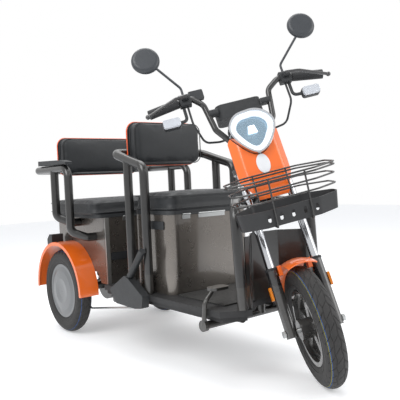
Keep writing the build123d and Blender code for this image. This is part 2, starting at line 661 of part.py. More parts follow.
# Foot brake on the right end of the front cross tube
with BuildPart() as foot_brake:
    pivot_y = -(262 + PIECE_GAP)
    with BuildSketch(across(CHASSIS, x=1045, y=pivot_y, z=RAIL_Z)):
        Circle(20)
    extrude(amount=16)
    tube(CHASSIS, [(1045, pivot_y - 9, RAIL_Z), (1060, pivot_y - 12, 290), (1036, pivot_y + 50, 322)], 22, 8)
    slab(level(CHASSIS, z=318), 50, 80, 20, 10, (1034, pivot_y + 70))
foot_brake.part.label = "foot_brake"
export_step(foot_brake.part, "parts/foot_brake.step")

# Parking brake: moulded base on the floor edge and a lever with a round grip
with BuildPart() as parking_brake:
    with BuildSketch(SIDE.offset(FLOOR_HALF + PIECE_GAP)):
        with BuildLine():
            Polyline(
                (445, 262),
                (567, 331),
                (600, 320),
                (700, 262),
                (690, 214),
                (640, 206),
                (495, 209),
                close=True,
            )
        make_face()
    extrude(amount=34)
    fillet(parking_brake.edges().filter_by(Axis.Y), 8)
    lever_y = -FLOOR_HALF - 18
    tube(CHASSIS, [(560, lever_y, 290), (600, lever_y, 345)], 0, 9)
    tube(CHASSIS, [(590, lever_y, 331), (690, lever_y, 440)], 0, 14)
parking_brake.part.label = "parking_brake"
export_step(parking_brake.part, "parts/parking_brake.step")


def wheel_profile(base, points):
    """A closed outline of straight runs on base, whose X is the radius and Y the width."""
    with BuildSketch(base) as profile:
        with BuildLine():
            Polyline(*points, close=True)
        make_face()
    return profile.sketch


def tyre_on(base, outer_r, half):
    """A tyre: a round tread band over flat bead flanks on the rim seat."""
    with BuildSketch(base) as band:
        with BuildLine():
            shoulder = outer_r - half * 0.75
            seat = RIM_SEAT_R + TYRE_FIT
            bead = RIM_HALF - RIM_WALL - PIECE_GAP
            lip = RIM_SEAT_R + RIM_LIP
            Polyline(
                (shoulder, half), (lip + 7, half * 0.88), (lip + 1, bead), (seat, bead),
                (seat, -bead), (lip + 1, -bead), (lip + 7, -half * 0.88), (shoulder, -half),
            )
            ThreePointArc((shoulder, -half), (outer_r, 0), (shoulder, half))
        make_face()
    revolve(band.sketch, axis=Axis(base.origin, base.y_dir))


def rim_on(base):
    """A drop centre rim with lips outside the tyre beads."""
    lip = RIM_SEAT_R + RIM_LIP
    well = RIM_SEAT_R - 16
    rows = [
        (lip, RIM_HALF),
        (lip, RIM_HALF - RIM_WALL),
        (RIM_SEAT_R, RIM_HALF - RIM_WALL),
        (RIM_SEAT_R, 12),
        (well, 8),
        (well, -8),
        (RIM_SEAT_R, -12),
        (RIM_SEAT_R, -RIM_HALF + RIM_WALL),
        (lip, -RIM_HALF + RIM_WALL),
        (lip, -RIM_HALF),
        (RIM_SEAT_R - RIM_WALL, -RIM_HALF), (RIM_SEAT_R - RIM_WALL - 2, -12), (well - RIM_WALL, -8),
        (well - RIM_WALL, 8), (RIM_SEAT_R - RIM_WALL - 2, 12), (RIM_SEAT_R - RIM_WALL, RIM_HALF),
    ]
    revolve(wheel_profile(base, rows), axis=Axis(base.origin, base.y_dir))


# Front wheel
with BuildPart() as front_tyre:
    tyre_on(FRONT_HUB, FRONT_TYRE_R, FRONT_TYRE_HALF)
front_tyre.part.label = "front_tyre"
export_step(front_tyre.part, "parts/front_tyre.step")
with BuildPart() as front_rim:
    rim_on(FRONT_HUB)
    hub_face = across(FRONT_HUB, y=HUB_HALF)
    with BuildSketch(hub_face):
        Circle(FRONT_HUB_R)
    extrude(amount=2 * HUB_HALF)
    for turn in range(SPOKE_COUNT):
        with BuildSketch(across(FRONT_HUB, y=SPOKE_THICK / 2)):
            with Locations(Location((0, 0, 0), (0, 0, 1), 360 / SPOKE_COUNT * turn)):
                with Locations((RIM_SEAT_R / 2, 0)):
                    Rectangle(RIM_SEAT_R - 34, SPOKE_WIDTH)
        extrude(amount=SPOKE_THICK)
    with BuildSketch(hub_face):
        Circle(AXLE_R + RUN_CLEAR)
    extrude(amount=2 * HUB_HALF, mode=Mode.SUBTRACT)
front_rim.part.label = "front_rim"
export_step(front_rim.part, "parts/front_rim.step")

# Rear wheels: pressed steel discs with a domed cover
for name, side in (("right", -1), ("left", 1)):
    hub_mid = (REAR_AXLE_X, side * REAR_TRACK_HALF, REAR_TYRE_R)
    hub = Plane(origin=hub_mid, x_dir=(1, 0, 0), z_dir=(0, 0, side))
    with BuildPart() as rear_tyre:
        tyre_on(hub, REAR_TYRE_R, REAR_TYRE_HALF)
    rear_tyre.part.label = f"rear_tyre_{name}"
    export_step(rear_tyre.part, f"parts/rear_tyre_{name}.step")
    with BuildPart() as rear_wheel:
        rim_on(hub)
        cover = [
            (STUB_R + RUN_CLEAR, -30),
            (40, -30),
            (40, -5),
            (RIM_SEAT_R - 18, -5),
            (RIM_SEAT_R - 18, 5),
            (40, 5),
            (40, RIM_HALF - 2), (RIM_SEAT_R - 2, RIM_HALF - 2), (RIM_SEAT_R - 2, RIM_HALF), (95, 33),
            (60, 36), (30, 32), (0, 31), (0, RIM_HALF - 2), (STUB_R + RUN_CLEAR, RIM_HALF - 2),
        ]
        revolve(wheel_profile(hub, cover), axis=Axis(hub.origin, hub.y_dir))
    rear_wheel.part.label = f"rear_wheel_{name}"
    export_step(rear_wheel.part, f"parts/rear_wheel_{name}.step")

# Fork yokes and the stem that turns in the head tube
with BuildPart() as fork_yokes:
    for z in (LOWER_YOKE_Z, UPPER_YOKE_Z):
        with BuildSketch(level(STEER, z=z)) as yoke:
            Circle(STEM_R + 12)
            with Locations((FORK_OFFSET, -LEG_Y), (FORK_OFFSET, LEG_Y)):
                Circle(STANCHION_R + 8)
            make_hull()
            with Locations((FORK_OFFSET, -LEG_Y), (FORK_OFFSET, LEG_Y)):
                Circle(STANCHION_R + PIECE_GAP, mode=Mode.SUBTRACT)
        extrude(amount=YOKE_THICK)
    with BuildSketch(level(STEER, z=LOWER_YOKE_Z)):
        Circle(STEM_R)
    extrude(amount=UPPER_YOKE_Z - LOWER_YOKE_Z + YOKE_THICK)
    for side in (-1, 1):
        with BuildSketch(level(STEER, x=BAR_FOOT_X, y=side * 18, z=UPPER_YOKE_Z + YOKE_THICK - 1)):
            Rectangle(34, 20)
        extrude(amount=BAR_FOOT_Z + 14 - UPPER_YOKE_Z - YOKE_THICK + 1)
        with BuildSketch(across(STEER, x=BAR_FOOT_X, y=side * 18 + 12, z=BAR_FOOT_Z)):
            Circle(BAR_R + PIECE_GAP)
        extrude(amount=24, mode=Mode.SUBTRACT)
fork_yokes.part.label = "fork_yokes"
export_step(fork_yokes.part, "parts/fork_yokes.step")

with BuildPart() as fork_stanchions:
    with BuildSketch(level(STEER, z=STANCHION_BOTTOM)):
        with Locations((FORK_OFFSET, -LEG_Y), (FORK_OFFSET, LEG_Y)):
            Circle(STANCHION_R)
    extrude(amount=STANCHION_TOP - STANCHION_BOTTOM)
fork_stanchions.part.label = "fork_stanchions"
export_step(fork_stanchions.part, "parts/fork_stanchions.step")

with BuildPart() as fork_sliders:
    with BuildSketch(level(STEER, z=SLIDER_BOTTOM)):
        with Locations((FORK_OFFSET, -LEG_Y), (FORK_OFFSET, LEG_Y)):
            Circle(SLIDER_R)
    extrude(amount=SLIDER_TOP - SLIDER_BOTTOM)
    with BuildSketch(level(STEER, z=STANCHION_BOTTOM - 4)):
        with Locations((FORK_OFFSET, -LEG_Y), (FORK_OFFSET, LEG_Y)):
            Circle(STANCHION_R + PIECE_GAP)
    extrude(amount=SLIDER_TOP - STANCHION_BOTTOM + 4, mode=Mode.SUBTRACT)
    with BuildSketch(across(STEER, x=FORK_OFFSET, y=AXLE_END_Y)):
        Circle(AXLE_R + PIECE_GAP)
    extrude(amount=2 * AXLE_END_Y, mode=Mode.SUBTRACT)
fork_sliders.part.label = "fork_sliders"
export_step(fork_sliders.part, "parts/fork_sliders.step")

with BuildPart() as front_axle:
    with BuildSketch(across(STEER, x=FORK_OFFSET, y=AXLE_END_Y)):
        Circle(AXLE_R)
    extrude(amount=2 * AXLE_END_Y)
    for side in (-1, 1):
        with BuildSketch(across(STEER, x=FORK_OFFSET, y=side * (LEG_Y + SLIDER_R + PIECE_GAP))):
            RegularPolygon(13, 6)
        extrude(amount=-side * 9)
front_axle.part.label = "front_axle"
export_step(front_axle.part, "parts/front_axle.step")

# Front fender with a lug to each slider
with BuildPart() as front_fender:
    start = FRONT_HUB.z_dir.rotate(Axis(FRONT_HUB.origin, FRONT_HUB.y_dir), -58)
    arch = Plane(origin=FRONT_HUB.origin, x_dir=start, z_dir=FRONT_HUB.y_dir.cross(start) * -1)
    with BuildSketch(arch) as crown:
        with BuildLine():
            ThreePointArc((ARCH_R - 13, -ARCH_HALF), (ARCH_R, 0), (ARCH_R - 13, ARCH_HALF))
        trace(line_width=FENDER_THICK)
    revolve(crown.sketch, axis=Axis(FRONT_HUB.origin, FRONT_HUB.y_dir), revolution_arc=88)
    for side in (-1, 1):
        inner = side * (ARCH_HALF - 3)
        with BuildSketch(across(STEER, x=FORK_OFFSET, y=inner, z=SLIDER_TOP - 6)):
            Rectangle(26, 34)
        extrude(amount=-side * (LEG_Y - SLIDER_R - PIECE_GAP - ARCH_HALF + 3))
front_fender.part.label = "front_fender"
export_step(front_fender.part, "parts/front_fender.step")

# Amber reflectors on the sliders
with BuildPart() as fork_reflectors:
    for side in (-1, 1):
        slab_base = across(STEER, x=FORK_OFFSET, y=side * (LEG_Y + SLIDER_R + PIECE_GAP))
        slab(slab_base, 20, 46, 4, -side * 8, (0, 137))
fork_reflectors.part.label = "fork_reflectors"
export_step(fork_reflectors.part, "parts/fork_reflectors.step")

def lamp_outline(base, inset):
    """The headlight's rounded triangle, point down, drawn on base and drawn in by inset."""
    half = [Vector(y, z) for y, z in LAMP_POINTS]
    rows = half + [Vector(-row.X, row.Y) for row in half[-2:0:-1]]
    with BuildSketch(base) as face:
        with BuildLine():
            Spline(*[row * (1 - inset / row.length) for row in rows], periodic=True)
        make_face()
    return face.sketch


# Head panel: the coloured shroud below the headlight, a bent sheet with a rib to the upper yoke
LAMP = ahead_of(STEER, x=LAMP_X, z=LAMP_Z)
with BuildPart() as head_panel:
    with BuildSketch(level(STEER, z=PANEL_LOW)):
        with BuildLine():
            half_rear, half_nose = PANEL_HALF
            FilletPolyline(
                (PANEL_REAR, -half_rear),
                (PANEL_NOSE, -half_nose),
                (PANEL_NOSE, half_nose),
                (PANEL_REAR, half_rear),
                radius=20,
            )
        trace(line_width=PANEL_WALL)
    extrude(amount=PANEL_TOP - PANEL_LOW)
    with BuildSketch(ahead_of(STEER, x=PANEL_REAR - 10)) as front_view:
        with BuildLine():
            Polyline(
                (-half_rear - 2, PANEL_TOP),
                (-half_rear - 2, 540),
                (-half_nose + 14, PANEL_LOW),
                (half_nose - 14, PANEL_LOW),
                (half_rear + 2, 540),
                (half_rear + 2, PANEL_TOP),
                close=True,
            )
        make_face()
        fillet(front_view.vertices().sort_by(Axis(STEER.origin, STEER.z_dir))[-2:], 24)
    extrude(amount=PANEL_NOSE - PANEL_REAR + 20, mode=Mode.INTERSECT)
    extrude(lamp_outline(LAMP.offset(-LAMP_DEPTH - 2), -2), amount=2 * LAMP_DEPTH, mode=Mode.SUBTRACT)
    with BuildSketch(ahead_of(STEER, x=FORK_OFFSET + STANCHION_R + 8 + PIECE_GAP)):
        with Locations((0, UPPER_YOKE_Z + YOKE_THICK / 2)):
            Rectangle(90, 5)
    extrude(amount=PANEL_NOSE - FORK_OFFSET - STANCHION_R - 8 - PIECE_GAP)
head_panel.part.label = "head_panel"
export_step(head_panel.part, "parts/head_panel.step")

# Lamp bracket: two arms from the upper yoke to the back of the headlight
with BuildPart() as lamp_bracket:
    arm_foot = UPPER_YOKE_Z + YOKE_THICK + PIECE_GAP + 2
    lamp_back = STEER.to_local_coords(LAMP.from_local_coords((0, -60, -LAMP_DEPTH - PIECE_GAP - 2)))
    lamp_high = STEER.to_local_coords(LAMP.from_local_coords((0, -30, -LAMP_DEPTH - PIECE_GAP - 2)))
    for side in (-1, 1):
        with BuildSketch(across(STEER, y=side * 34 + 4)):
            with BuildLine():
                Polyline(
                    (2, arm_foot),
                    (-8, arm_foot),
                    (-6, 650),
                    (lamp_back.X, lamp_back.Z),
                    (lamp_high.X, lamp_high.Z),
                )
            trace(line_width=4)
        extrude(amount=8)
lamp_bracket.part.label = "lamp_bracket"
export_step(lamp_bracket.part, "parts/lamp_bracket.step")

# Headlight: case, reflector, light ring and lens
with BuildPart() as headlight_case:
    extrude(lamp_outline(LAMP.offset(-LAMP_DEPTH), 0), amount=LAMP_DEPTH + LAMP_NOSE)
    extrude(lamp_outline(LAMP.offset(-22), LAMP_EDGE), amount=22 + LAMP_NOSE, mode=Mode.SUBTRACT)
headlight_case.part.label = "headlight_case"
export_step(headlight_case.part, "parts/headlight_case.step")
with BuildPart() as headlight_reflector:
    extrude(lamp_outline(LAMP.offset(-22 + PIECE_GAP), LAMP_EDGE + PIECE_GAP), amount=6)
headlight_reflector.part.label = "headlight_reflector"
export_step(headlight_reflector.part, "parts/headlight_reflector.step")
with BuildPart() as headlight_ring:
    extrude(lamp_outline(LAMP.offset(-10), LAMP_EDGE + PIECE_GAP), amount=8)
    extrude(lamp_outline(LAMP.offset(-10), LAMP_RING), amount=8, mode=Mode.SUBTRACT)
headlight_ring.part.label = "headlight_ring"
export_step(headlight_ring.part, "parts/headlight_ring.step")
with BuildPart() as headlight_lens:
    extrude(lamp_outline(LAMP.offset(-2 + PIECE_GAP), LAMP_EDGE + PIECE_GAP), amount=5)
headlight_lens.part.label = "headlight_lens"
export_step(headlight_lens.part, "parts/headlight_lens.step")


def basket_outline(half, front, rear):
    """The corners of the basket's plan: narrow at the rear, widest in the middle, round in front."""
    right = [(rear, -half * 0.55), (rear + 70, -half), (front - 36, -half), (front, -half * 0.55)]
    return right + [(x, -y) for x, y in right[::-1]]


# Basket: a moulded tray with slots in its front, and wire rings above it
with BuildPart() as basket_tray:
    for inset, mode in ((0, Mode.ADD), (TRAY_WALL, Mode.SUBTRACT)):
        with BuildSketch(level(BASKET, z=TRAY_BOTTOM + inset)) as plan:
            with BuildLine():
                rows = basket_outline(TRAY_HALF - inset, TRAY_FRONT - inset, TRAY_REAR + inset)
                FilletPolyline(*rows, radius=22, close=True)
            make_face()
        extrude(plan.sketch, amount=TRAY_TOP - TRAY_BOTTOM, taper=-TRAY_TAPER, mode=mode)
    for slot in range(-2, 3):
        with BuildSketch(ahead_of(BASKET, x=80, y=slot * 40, z=(TRAY_TOP + TRAY_BOTTOM) / 2)):
            SlotOverall(24, 11, rotation=90)
        extrude(amount=80, mode=Mode.SUBTRACT)
basket_tray.part.label = "basket_tray"
export_step(basket_tray.part, "parts/basket_tray.step")

with BuildPart() as basket_wires:
    for z, side_in, rear_in in BASKET_RINGS:
        rows = basket_outline(BASKET_HALF - side_in, BASKET_DEPTH[1], BASKET_DEPTH[0] + rear_in)
        with BuildLine(level(BASKET, z=z)) as ring:
            FilletPolyline(*rows, radius=24, close=True)
        with BuildSketch(Plane(origin=ring.line @ 0, z_dir=ring.line % 0)) as section:
            Circle(WIRE_R)
        sweep(sections=section.sketch, path=ring.line)
    foot = TRAY_BOTTOM - WIRE_R - PIECE_GAP
    front_x = BASKET_DEPTH[1] + 4
    for y in (-UPRIGHT_Y, UPRIGHT_Y):
        tube(BASKET, [(front_x, y, 3), (front_x, y, foot), (20, y, foot)], 10, WIRE_R)
        rear_run = [(-68, y, 3), (-50, y, -70), (-43, y, -98), (-37, y, foot), (20, y, foot)]
        tube(BASKET, rear_run, (20, 20, 8), WIRE_R)
basket_wires.part.label = "basket_wires"
export_step(basket_wires.part, "parts/basket_wires.step")

with BuildPart() as basket_bracket:
    with BuildSketch(across(STEER, y=45)):
        with BuildLine():
            lean = sin(radians(TRAY_TAPER)) * (TRAY_TOP - TRAY_BOTTOM - 8)
            wall_x = TRAY_REAR - 2 - PIECE_GAP
            wall_top = STEER.to_local_coords(BASKET.from_local_coords((wall_x - lean, 0, TRAY_TOP - 8)))
            wall_low = STEER.to_local_coords(BASKET.from_local_coords((wall_x, 0, TRAY_BOTTOM + 2)))
            top = LOWER_YOKE_Z + YOKE_THICK + 2 + PIECE_GAP
            Polyline((34, top), (66, top), (wall_top.X, wall_top.Z), (wall_low.X, wall_low.Z))
        trace(line_width=4)
    extrude(amount=90)
basket_bracket.part.label = "basket_bracket"
export_step(basket_bracket.part, "parts/basket_bracket.step")

# Handlebar: one bent tube up from the upper yoke and out to the grips
GRIP_OUT = (56.0, 333.0, 874.0)
bar_half = [
    GRIP_OUT,
    (45, 170, 905),
    (20, 128, 880),
    (20, 112, 770),
    (BAR_FOOT_X, 62, 700),
    (BAR_FOOT_X, 52, BAR_FOOT_Z),
]
with BuildPart() as handlebar:
    tube(STEER, bar_half + both_sides(bar_half)[::-1], (30, 26, 30, 30, 24, 24, 30, 30, 26, 30), BAR_R)
handlebar.part.label = "handlebar"
export_step(handlebar.part, "parts/handlebar.step")

with BuildPart() as grips:
    for side in (-1, 1):
        start = Vector(GRIP_OUT) + (Vector(GRIP_OUT) - Vector((45, 170, 905))).normalized() * 4
        end = Vector(GRIP_OUT) - (Vector(GRIP_OUT) - Vector((45, 170, 905))).normalized() * 112
        tube(STEER, [(start.X, side * start.Y, start.Z), (end.X, side * end.Y, end.Z)], 0, GRIP_R)
        inner = Vector(GRIP_OUT) + (Vector(GRIP_OUT) - Vector((45, 170, 905))).normalized() * PIECE_GAP
        with BuildLine(STEER) as bore_line:
            Line((inner.X, side * inner.Y, inner.Z), (end.X, side * end.Y, end.Z))
        with BuildSketch(Plane(origin=bore_line.line @ 0, z_dir=bore_line.line % 0)) as bore:
            Circle(BAR_R + PIECE_GAP)
        sweep(sections=bore.sketch, path=bore_line.line, mode=Mode.SUBTRACT)
grips.part.label = "grips"
export_step(grips.part, "parts/grips.step")

BAR_BENDS = (30, 26, 30, 30, 24, 24, 30, 30, 26, 30)
BAR_ROUTE = bar_half + both_sides(bar_half)[::-1]

# Control housings beside the grips, each with a perch for its lever
with BuildPart() as control_housings:
    for side in (-1, 1):
        with BuildSketch(across(STEER, x=HOUSING[0], y=side * HOUSING[1] + 21, z=HOUSING[2])):
            RectangleRounded(40, 46, 12)
        extrude(amount=42)
        with BuildSketch(across(STEER, x=HOUSING[0] + 26, y=side * HOUSING[1] + 12, z=HOUSING[2])):
            RectangleRounded(30, 14, 4)
        extrude(amount=24)
    tube(STEER, BAR_ROUTE, BAR_BENDS, BAR_R + PIECE_GAP, Mode.SUBTRACT)
control_housings.part.label = "control_housings"
export_step(control_housings.part, "parts/control_housings.step")

# Brake levers with ball ends, seated on the front of each perch
with BuildPart() as brake_levers:
    for side in (-1, 1):
        pivot = (HOUSING[0] + 41 + PIECE_GAP + LEVER_R, side * (HOUSING[1] - 6), HOUSING[2])
        tip = (86, side * 346, HOUSING[2] - 44)
        tube(STEER, [pivot, (HOUSING[0] + 54, side * 236, HOUSING[2] - 8), tip], 30, LEVER_R)
        ball_at = Plane(origin=STEER.from_local_coords(tip), x_dir=STEER.x_dir, z_dir=STEER.z_dir)
        with BuildSketch(ball_at) as ball:
            Circle(9)
            with Locations((-9, 0)):
                Rectangle(18, 18, mode=Mode.SUBTRACT)
        revolve(ball.sketch, axis=Axis(ball_at.origin, STEER.y_dir))
brake_levers.part.label = "brake_levers"
export_step(brake_levers.part, "parts/brake_levers.step")

# Turn signals, each a case on an arm from the control housing, with its lens
with BuildPart() as turn_signals:
    for side in (-1, 1):
        slab(ahead_of(STEER, x=SIGNAL[0] - 24, y=side * SIGNAL[1], z=SIGNAL[2]), 68, 36, 10, 18, (0, 0))
        arm = [
            (HOUSING[0] - 4, side * (HOUSING[1] + 10), HOUSING[2] - 23 - PIECE_GAP),
            (HOUSING[0] - 4, side * (HOUSING[1] + 10), SIGNAL[2] + 8),
            (SIGNAL[0] - 15, side * (SIGNAL[1] - 20), SIGNAL[2]),
        ]
        tube(STEER, arm, 18, LEVER_R)
turn_signals.part.label = "turn_signals"
export_step(turn_signals.part, "parts/turn_signals.step")
with BuildPart() as turn_signal_lenses:
    for side in (-1, 1):
        lens_back = ahead_of(STEER, x=SIGNAL[0] - 6 + PIECE_GAP, y=side * SIGNAL[1], z=SIGNAL[2])
        slab(lens_back, 64, 32, 9, 12, (0, 0))
turn_signal_lenses.part.label = "turn_signal_lenses"
export_step(turn_signal_lenses.part, "parts/turn_signal_lenses.step")

# Mirrors: a bent stem from each housing into a round shell, and the glass in its recess
MIRROR_DEPTH = 22.0
GLASS_THICK = 4.0
with BuildPart() as mirror_shells:
    for side in (-1, 1):
        face = ahead_of(STEER, x=MIRROR[0] - MIRROR_DEPTH / 2, y=side * MIRROR[1], z=MIRROR[2])
        with BuildSketch(face) as disc:
            Circle(MIRROR_R)
        extrude(disc.sketch, amount=MIRROR_DEPTH)
    fillet(mirror_shells.edges().sort_by(Axis(STEER.origin, STEER.x_dir))[-2:], 15)
    for side in (-1, 1):
        stem = [
            (HOUSING[0], side * HOUSING[1], HOUSING[2] + 23 + PIECE_GAP),
            (HOUSING[0], side * HOUSING[1], HOUSING[2] + 56),
            (MIRROR[0] + 2, side * (MIRROR[1] - 20), MIRROR[2] - 28),
        ]
        tube(STEER, stem, 18, MIRROR_STEM_R)
    for side in (-1, 1):
        with BuildSketch(ahead_of(STEER, x=MIRROR[0] - MIRROR_DEPTH / 2, y=side * MIRROR[1], z=MIRROR[2])):
            Circle(MIRROR_R - 3)
        extrude(amount=GLASS_THICK, mode=Mode.SUBTRACT)
mirror_shells.part.label = "mirror_shells"
export_step(mirror_shells.part, "parts/mirror_shells.step")
with BuildPart() as mirror_glass:
    for side in (-1, 1):
        with BuildSketch(ahead_of(STEER, x=MIRROR[0] - MIRROR_DEPTH / 2, y=side * MIRROR[1], z=MIRROR[2])):
            Circle(MIRROR_R - 3 - PIECE_GAP)
        extrude(amount=GLASS_THICK - PIECE_GAP)
mirror_glass.part.label = "mirror_glass"
export_step(mirror_glass.part, "parts/mirror_glass.step")

# Display over the right riser, its foot shaped to the bar
with BuildPart() as display_unit:
    slab(ahead_of(STEER, x=20, y=-146, z=920), 56, 40, 6, 14, (0, 0))
    with BuildSketch(across(STEER, x=28, y=-141, z=900)):
        Rectangle(12, 24)
    extrude(amount=10)
    tube(STEER, BAR_ROUTE, BAR_BENDS, BAR_R + PIECE_GAP, Mode.SUBTRACT)
display_unit.part.label = "display_unit"
export_step(display_unit.part, "parts/display_unit.step")

# Soft bag between the risers, held by a strap round each
BAG = (84.0, 176.0, 60.0)
BAG_X = -14.0
BAG_LOW = 802.0
with BuildPart() as handlebar_bag:
    slab(level(STEER, z=BAG_LOW), BAG[0], BAG[1], 24, BAG[2], (BAG_X, 0))
    for side in (-1, 1):
        with BuildSketch(across(STEER, x=18, y=side * 102 + 18, z=838)):
            RectangleRounded(34, 24, 8)
        extrude(amount=36)
    tube(STEER, BAR_ROUTE, BAR_BENDS, BAR_R + PIECE_GAP, Mode.SUBTRACT)
handlebar_bag.part.label = "handlebar_bag"
export_step(handlebar_bag.part, "parts/handlebar_bag.step")

# Control cables: one from each housing, down behind the riser and into the back of the headlight
with BuildPart() as control_cables:
    lamp_entry = STEER.to_local_coords(LAMP.from_local_coords((0, 20, -LAMP_DEPTH - PIECE_GAP)))
    for side in (-1, 1):
        route = [
            (HOUSING[0], side * (HOUSING[1] - 5), HOUSING[2] - 23 - PIECE_GAP),
            (HOUSING[0], side * (HOUSING[1] - 5), 802),
            (0, side * 160, 738),
            (-16, side * 96, 733),
            (lamp_entry.X - 45, side * 46, lamp_entry.Z),
            (lamp_entry.X, side * 46, lamp_entry.Z),
        ]
        tube(STEER, route, (40, 36, 36, 30), CABLE_R)
control_cables.part.label = "control_cables"
export_step(control_cables.part, "parts/control_cables.step")

# Parking brake rod: from the drum forward along the right side to the brake's base
with BuildPart() as brake_rod:
    down = Vector(cos(radians(27)), 0, -sin(radians(27)))
    drum_foot = Vector(0, 0, REAR_TYRE_R) + down * (BRAKE_R + PIECE_GAP)
    rod_end = (600, -ROD_Y - 47, ROD_END_Z - PIECE_GAP - ROD_R)
    rod = [(drum_foot.X, -ROD_Y, drum_foot.Z), (148, -ROD_Y, 124), rod_end]
    tube(CHASSIS, rod, 9, ROD_R)
brake_rod.part.label = "brake_rod"
export_step(brake_rod.part, "parts/brake_rod.step")
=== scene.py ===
import json
import logging
import math
from dataclasses import dataclass, field
from enum import Enum
from typing import Sequence

import bmesh
import bpy
import numpy as np
from mathutils import Matrix, Vector


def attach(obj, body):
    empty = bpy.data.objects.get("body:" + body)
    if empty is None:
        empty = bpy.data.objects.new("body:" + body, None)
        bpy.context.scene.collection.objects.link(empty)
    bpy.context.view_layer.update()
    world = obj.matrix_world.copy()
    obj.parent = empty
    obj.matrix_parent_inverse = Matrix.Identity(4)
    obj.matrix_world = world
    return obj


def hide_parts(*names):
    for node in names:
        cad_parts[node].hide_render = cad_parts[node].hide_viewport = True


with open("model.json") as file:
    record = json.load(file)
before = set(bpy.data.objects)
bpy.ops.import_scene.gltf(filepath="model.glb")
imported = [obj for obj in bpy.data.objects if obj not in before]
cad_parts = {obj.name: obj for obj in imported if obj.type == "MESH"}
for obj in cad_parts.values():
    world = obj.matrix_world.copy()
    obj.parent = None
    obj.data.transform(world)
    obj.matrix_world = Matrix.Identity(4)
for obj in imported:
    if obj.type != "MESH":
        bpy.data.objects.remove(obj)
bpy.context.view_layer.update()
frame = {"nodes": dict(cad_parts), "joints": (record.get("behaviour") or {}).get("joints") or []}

LOG = logging.getLogger("tricycle")
RAKE = math.radians(22.2)
REST_TURN = math.radians(-32.8)
REAR_AXLE_X = -0.638
REAR_WHEEL_Y = 0.2786
REAR_RADIUS = 0.1998
REAR_HALF = 0.036
FRONT_RADIUS = 0.2062
FRONT_HALF = 0.034


class Side(Enum):
    """The vehicle's two sides, as the sign of Y."""

    RIGHT = -1
    LEFT = 1


# Places


@dataclass(frozen=True)
class Place:
    """A local frame: an origin and three unit axes, all in the row frame and in metres."""

    origin: np.ndarray
    x: np.ndarray
    y: np.ndarray
    z: np.ndarray

    def at(self, points: Sequence) -> np.ndarray:
        """Local points in metres to row frame points: origin + a x + b y + c z.

        Args:
            points: an array of shape (..., 3).

        Returns:
            The same shape in the row frame.
        """
        p = np.asarray(points, float)
        return self.origin + p[..., 0:1] * self.x + p[..., 1:2] * self.y + p[..., 2:3] * self.z

    def turned(self, axes: str) -> "Place":
        """The same origin with its axes renamed, such as "yzx" for x=y, y=z, z=x."""
        named = {"x": self.x, "y": self.y, "z": self.z}
        return Place(self.origin, *(named[a] for a in axes))

    def matrix(self) -> Matrix:
        """The frame as a 4 by 4 matrix."""
        m = Matrix.Identity(4)
        for column, axis in enumerate((self.x, self.y, self.z, self.origin)):
            for row in range(3):
                m[row][column] = float(axis[row])
        return m


def turn(vector: np.ndarray, axis: np.ndarray, angle: float) -> np.ndarray:
    """Rodrigues' rotation: v cos t + (k x v) sin t + k (k.v)(1 - cos t)."""
    spin = np.cross(axis, vector) * math.sin(angle)
    return vector * math.cos(angle) + spin + axis * float(np.dot(axis, vector)) * (1 - math.cos(angle))


def joint(name: str) -> dict:
    """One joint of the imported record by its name."""
    return next(j for j in frame["joints"] if j["name"] == name)


CHASSIS = Place(np.array([REAR_AXLE_X, 0, 0.0]), *np.eye(3))
STEER_AXIS = np.array([-math.sin(RAKE), 0, math.cos(RAKE)])
AHEAD = turn(np.array([math.cos(RAKE), 0, math.sin(RAKE)]), STEER_AXIS, REST_TURN)
LEFTWARD = turn(np.array([0, 1.0, 0]), STEER_AXIS, REST_TURN)
STEER = Place(np.array(joint("steering")["pos_m"]), AHEAD, LEFTWARD, STEER_AXIS)
FRONT_HUB = Place(np.array(joint("front_wheel_spin")["pos_m"]), AHEAD, LEFTWARD, STEER_AXIS)
LAMP_FACE = Place(STEER.at((0.088, 0, 0.711)), STEER.y, STEER.z, STEER.x)


# Shader maths


class Field:
    """A shader socket that takes part in Python expressions; each operator adds one Math node."""

    def __init__(self, shade: "Shade", socket: bpy.types.NodeSocket) -> None:
        """Wraps a socket of a material's tree."""
        self.shade = shade
        self.socket = socket

    def _math(self, operation: str, a: object, b: object = None) -> "Field":
        """One Math node on two values."""
        values = {0: a} if b is None else {0: a, 1: b}
        return self.shade.node("ShaderNodeMath", {"operation": operation}, values)

    def __add__(self, other: object) -> "Field":
        """self + other."""
        return self._math("ADD", self, other)

    __radd__ = __add__

    def __mul__(self, other: object) -> "Field":
        """self * other."""
        return self._math("MULTIPLY", self, other)

    __rmul__ = __mul__

    def __sub__(self, other: object) -> "Field":
        """self - other."""
        return self._math("SUBTRACT", self, other)

    def __rsub__(self, other: object) -> "Field":
        """other - self."""
        return self._math("SUBTRACT", other, self)

    def __truediv__(self, other: object) -> "Field":
        """self / other."""
        return self._math("DIVIDE", self, other)

    def __pow__(self, other: object) -> "Field":
        """self to a power."""
        return self._math("POWER", self, other)

    def __lt__(self, other: object) -> "Field":
        """1 where self is below other."""
        return self._math("LESS_THAN", self, other)

    def __gt__(self, other: object) -> "Field":
        """1 where self is above other."""
        return self._math("GREATER_THAN", self, other)

    def sine(self) -> "Field":
        """The sine of self."""
        return self._math("SINE", self)

    def size(self) -> "Field":
        """The absolute value of self."""
        return self._math("ABSOLUTE", self)

    def fraction(self) -> "Field":
        """The part after the decimal point."""
        return self._math("FRACT", self)

    def clamped(self) -> "Field":
        """self held between 0 and 1."""
        return self.shade.node("ShaderNodeClamp", {}, {"Value": self})


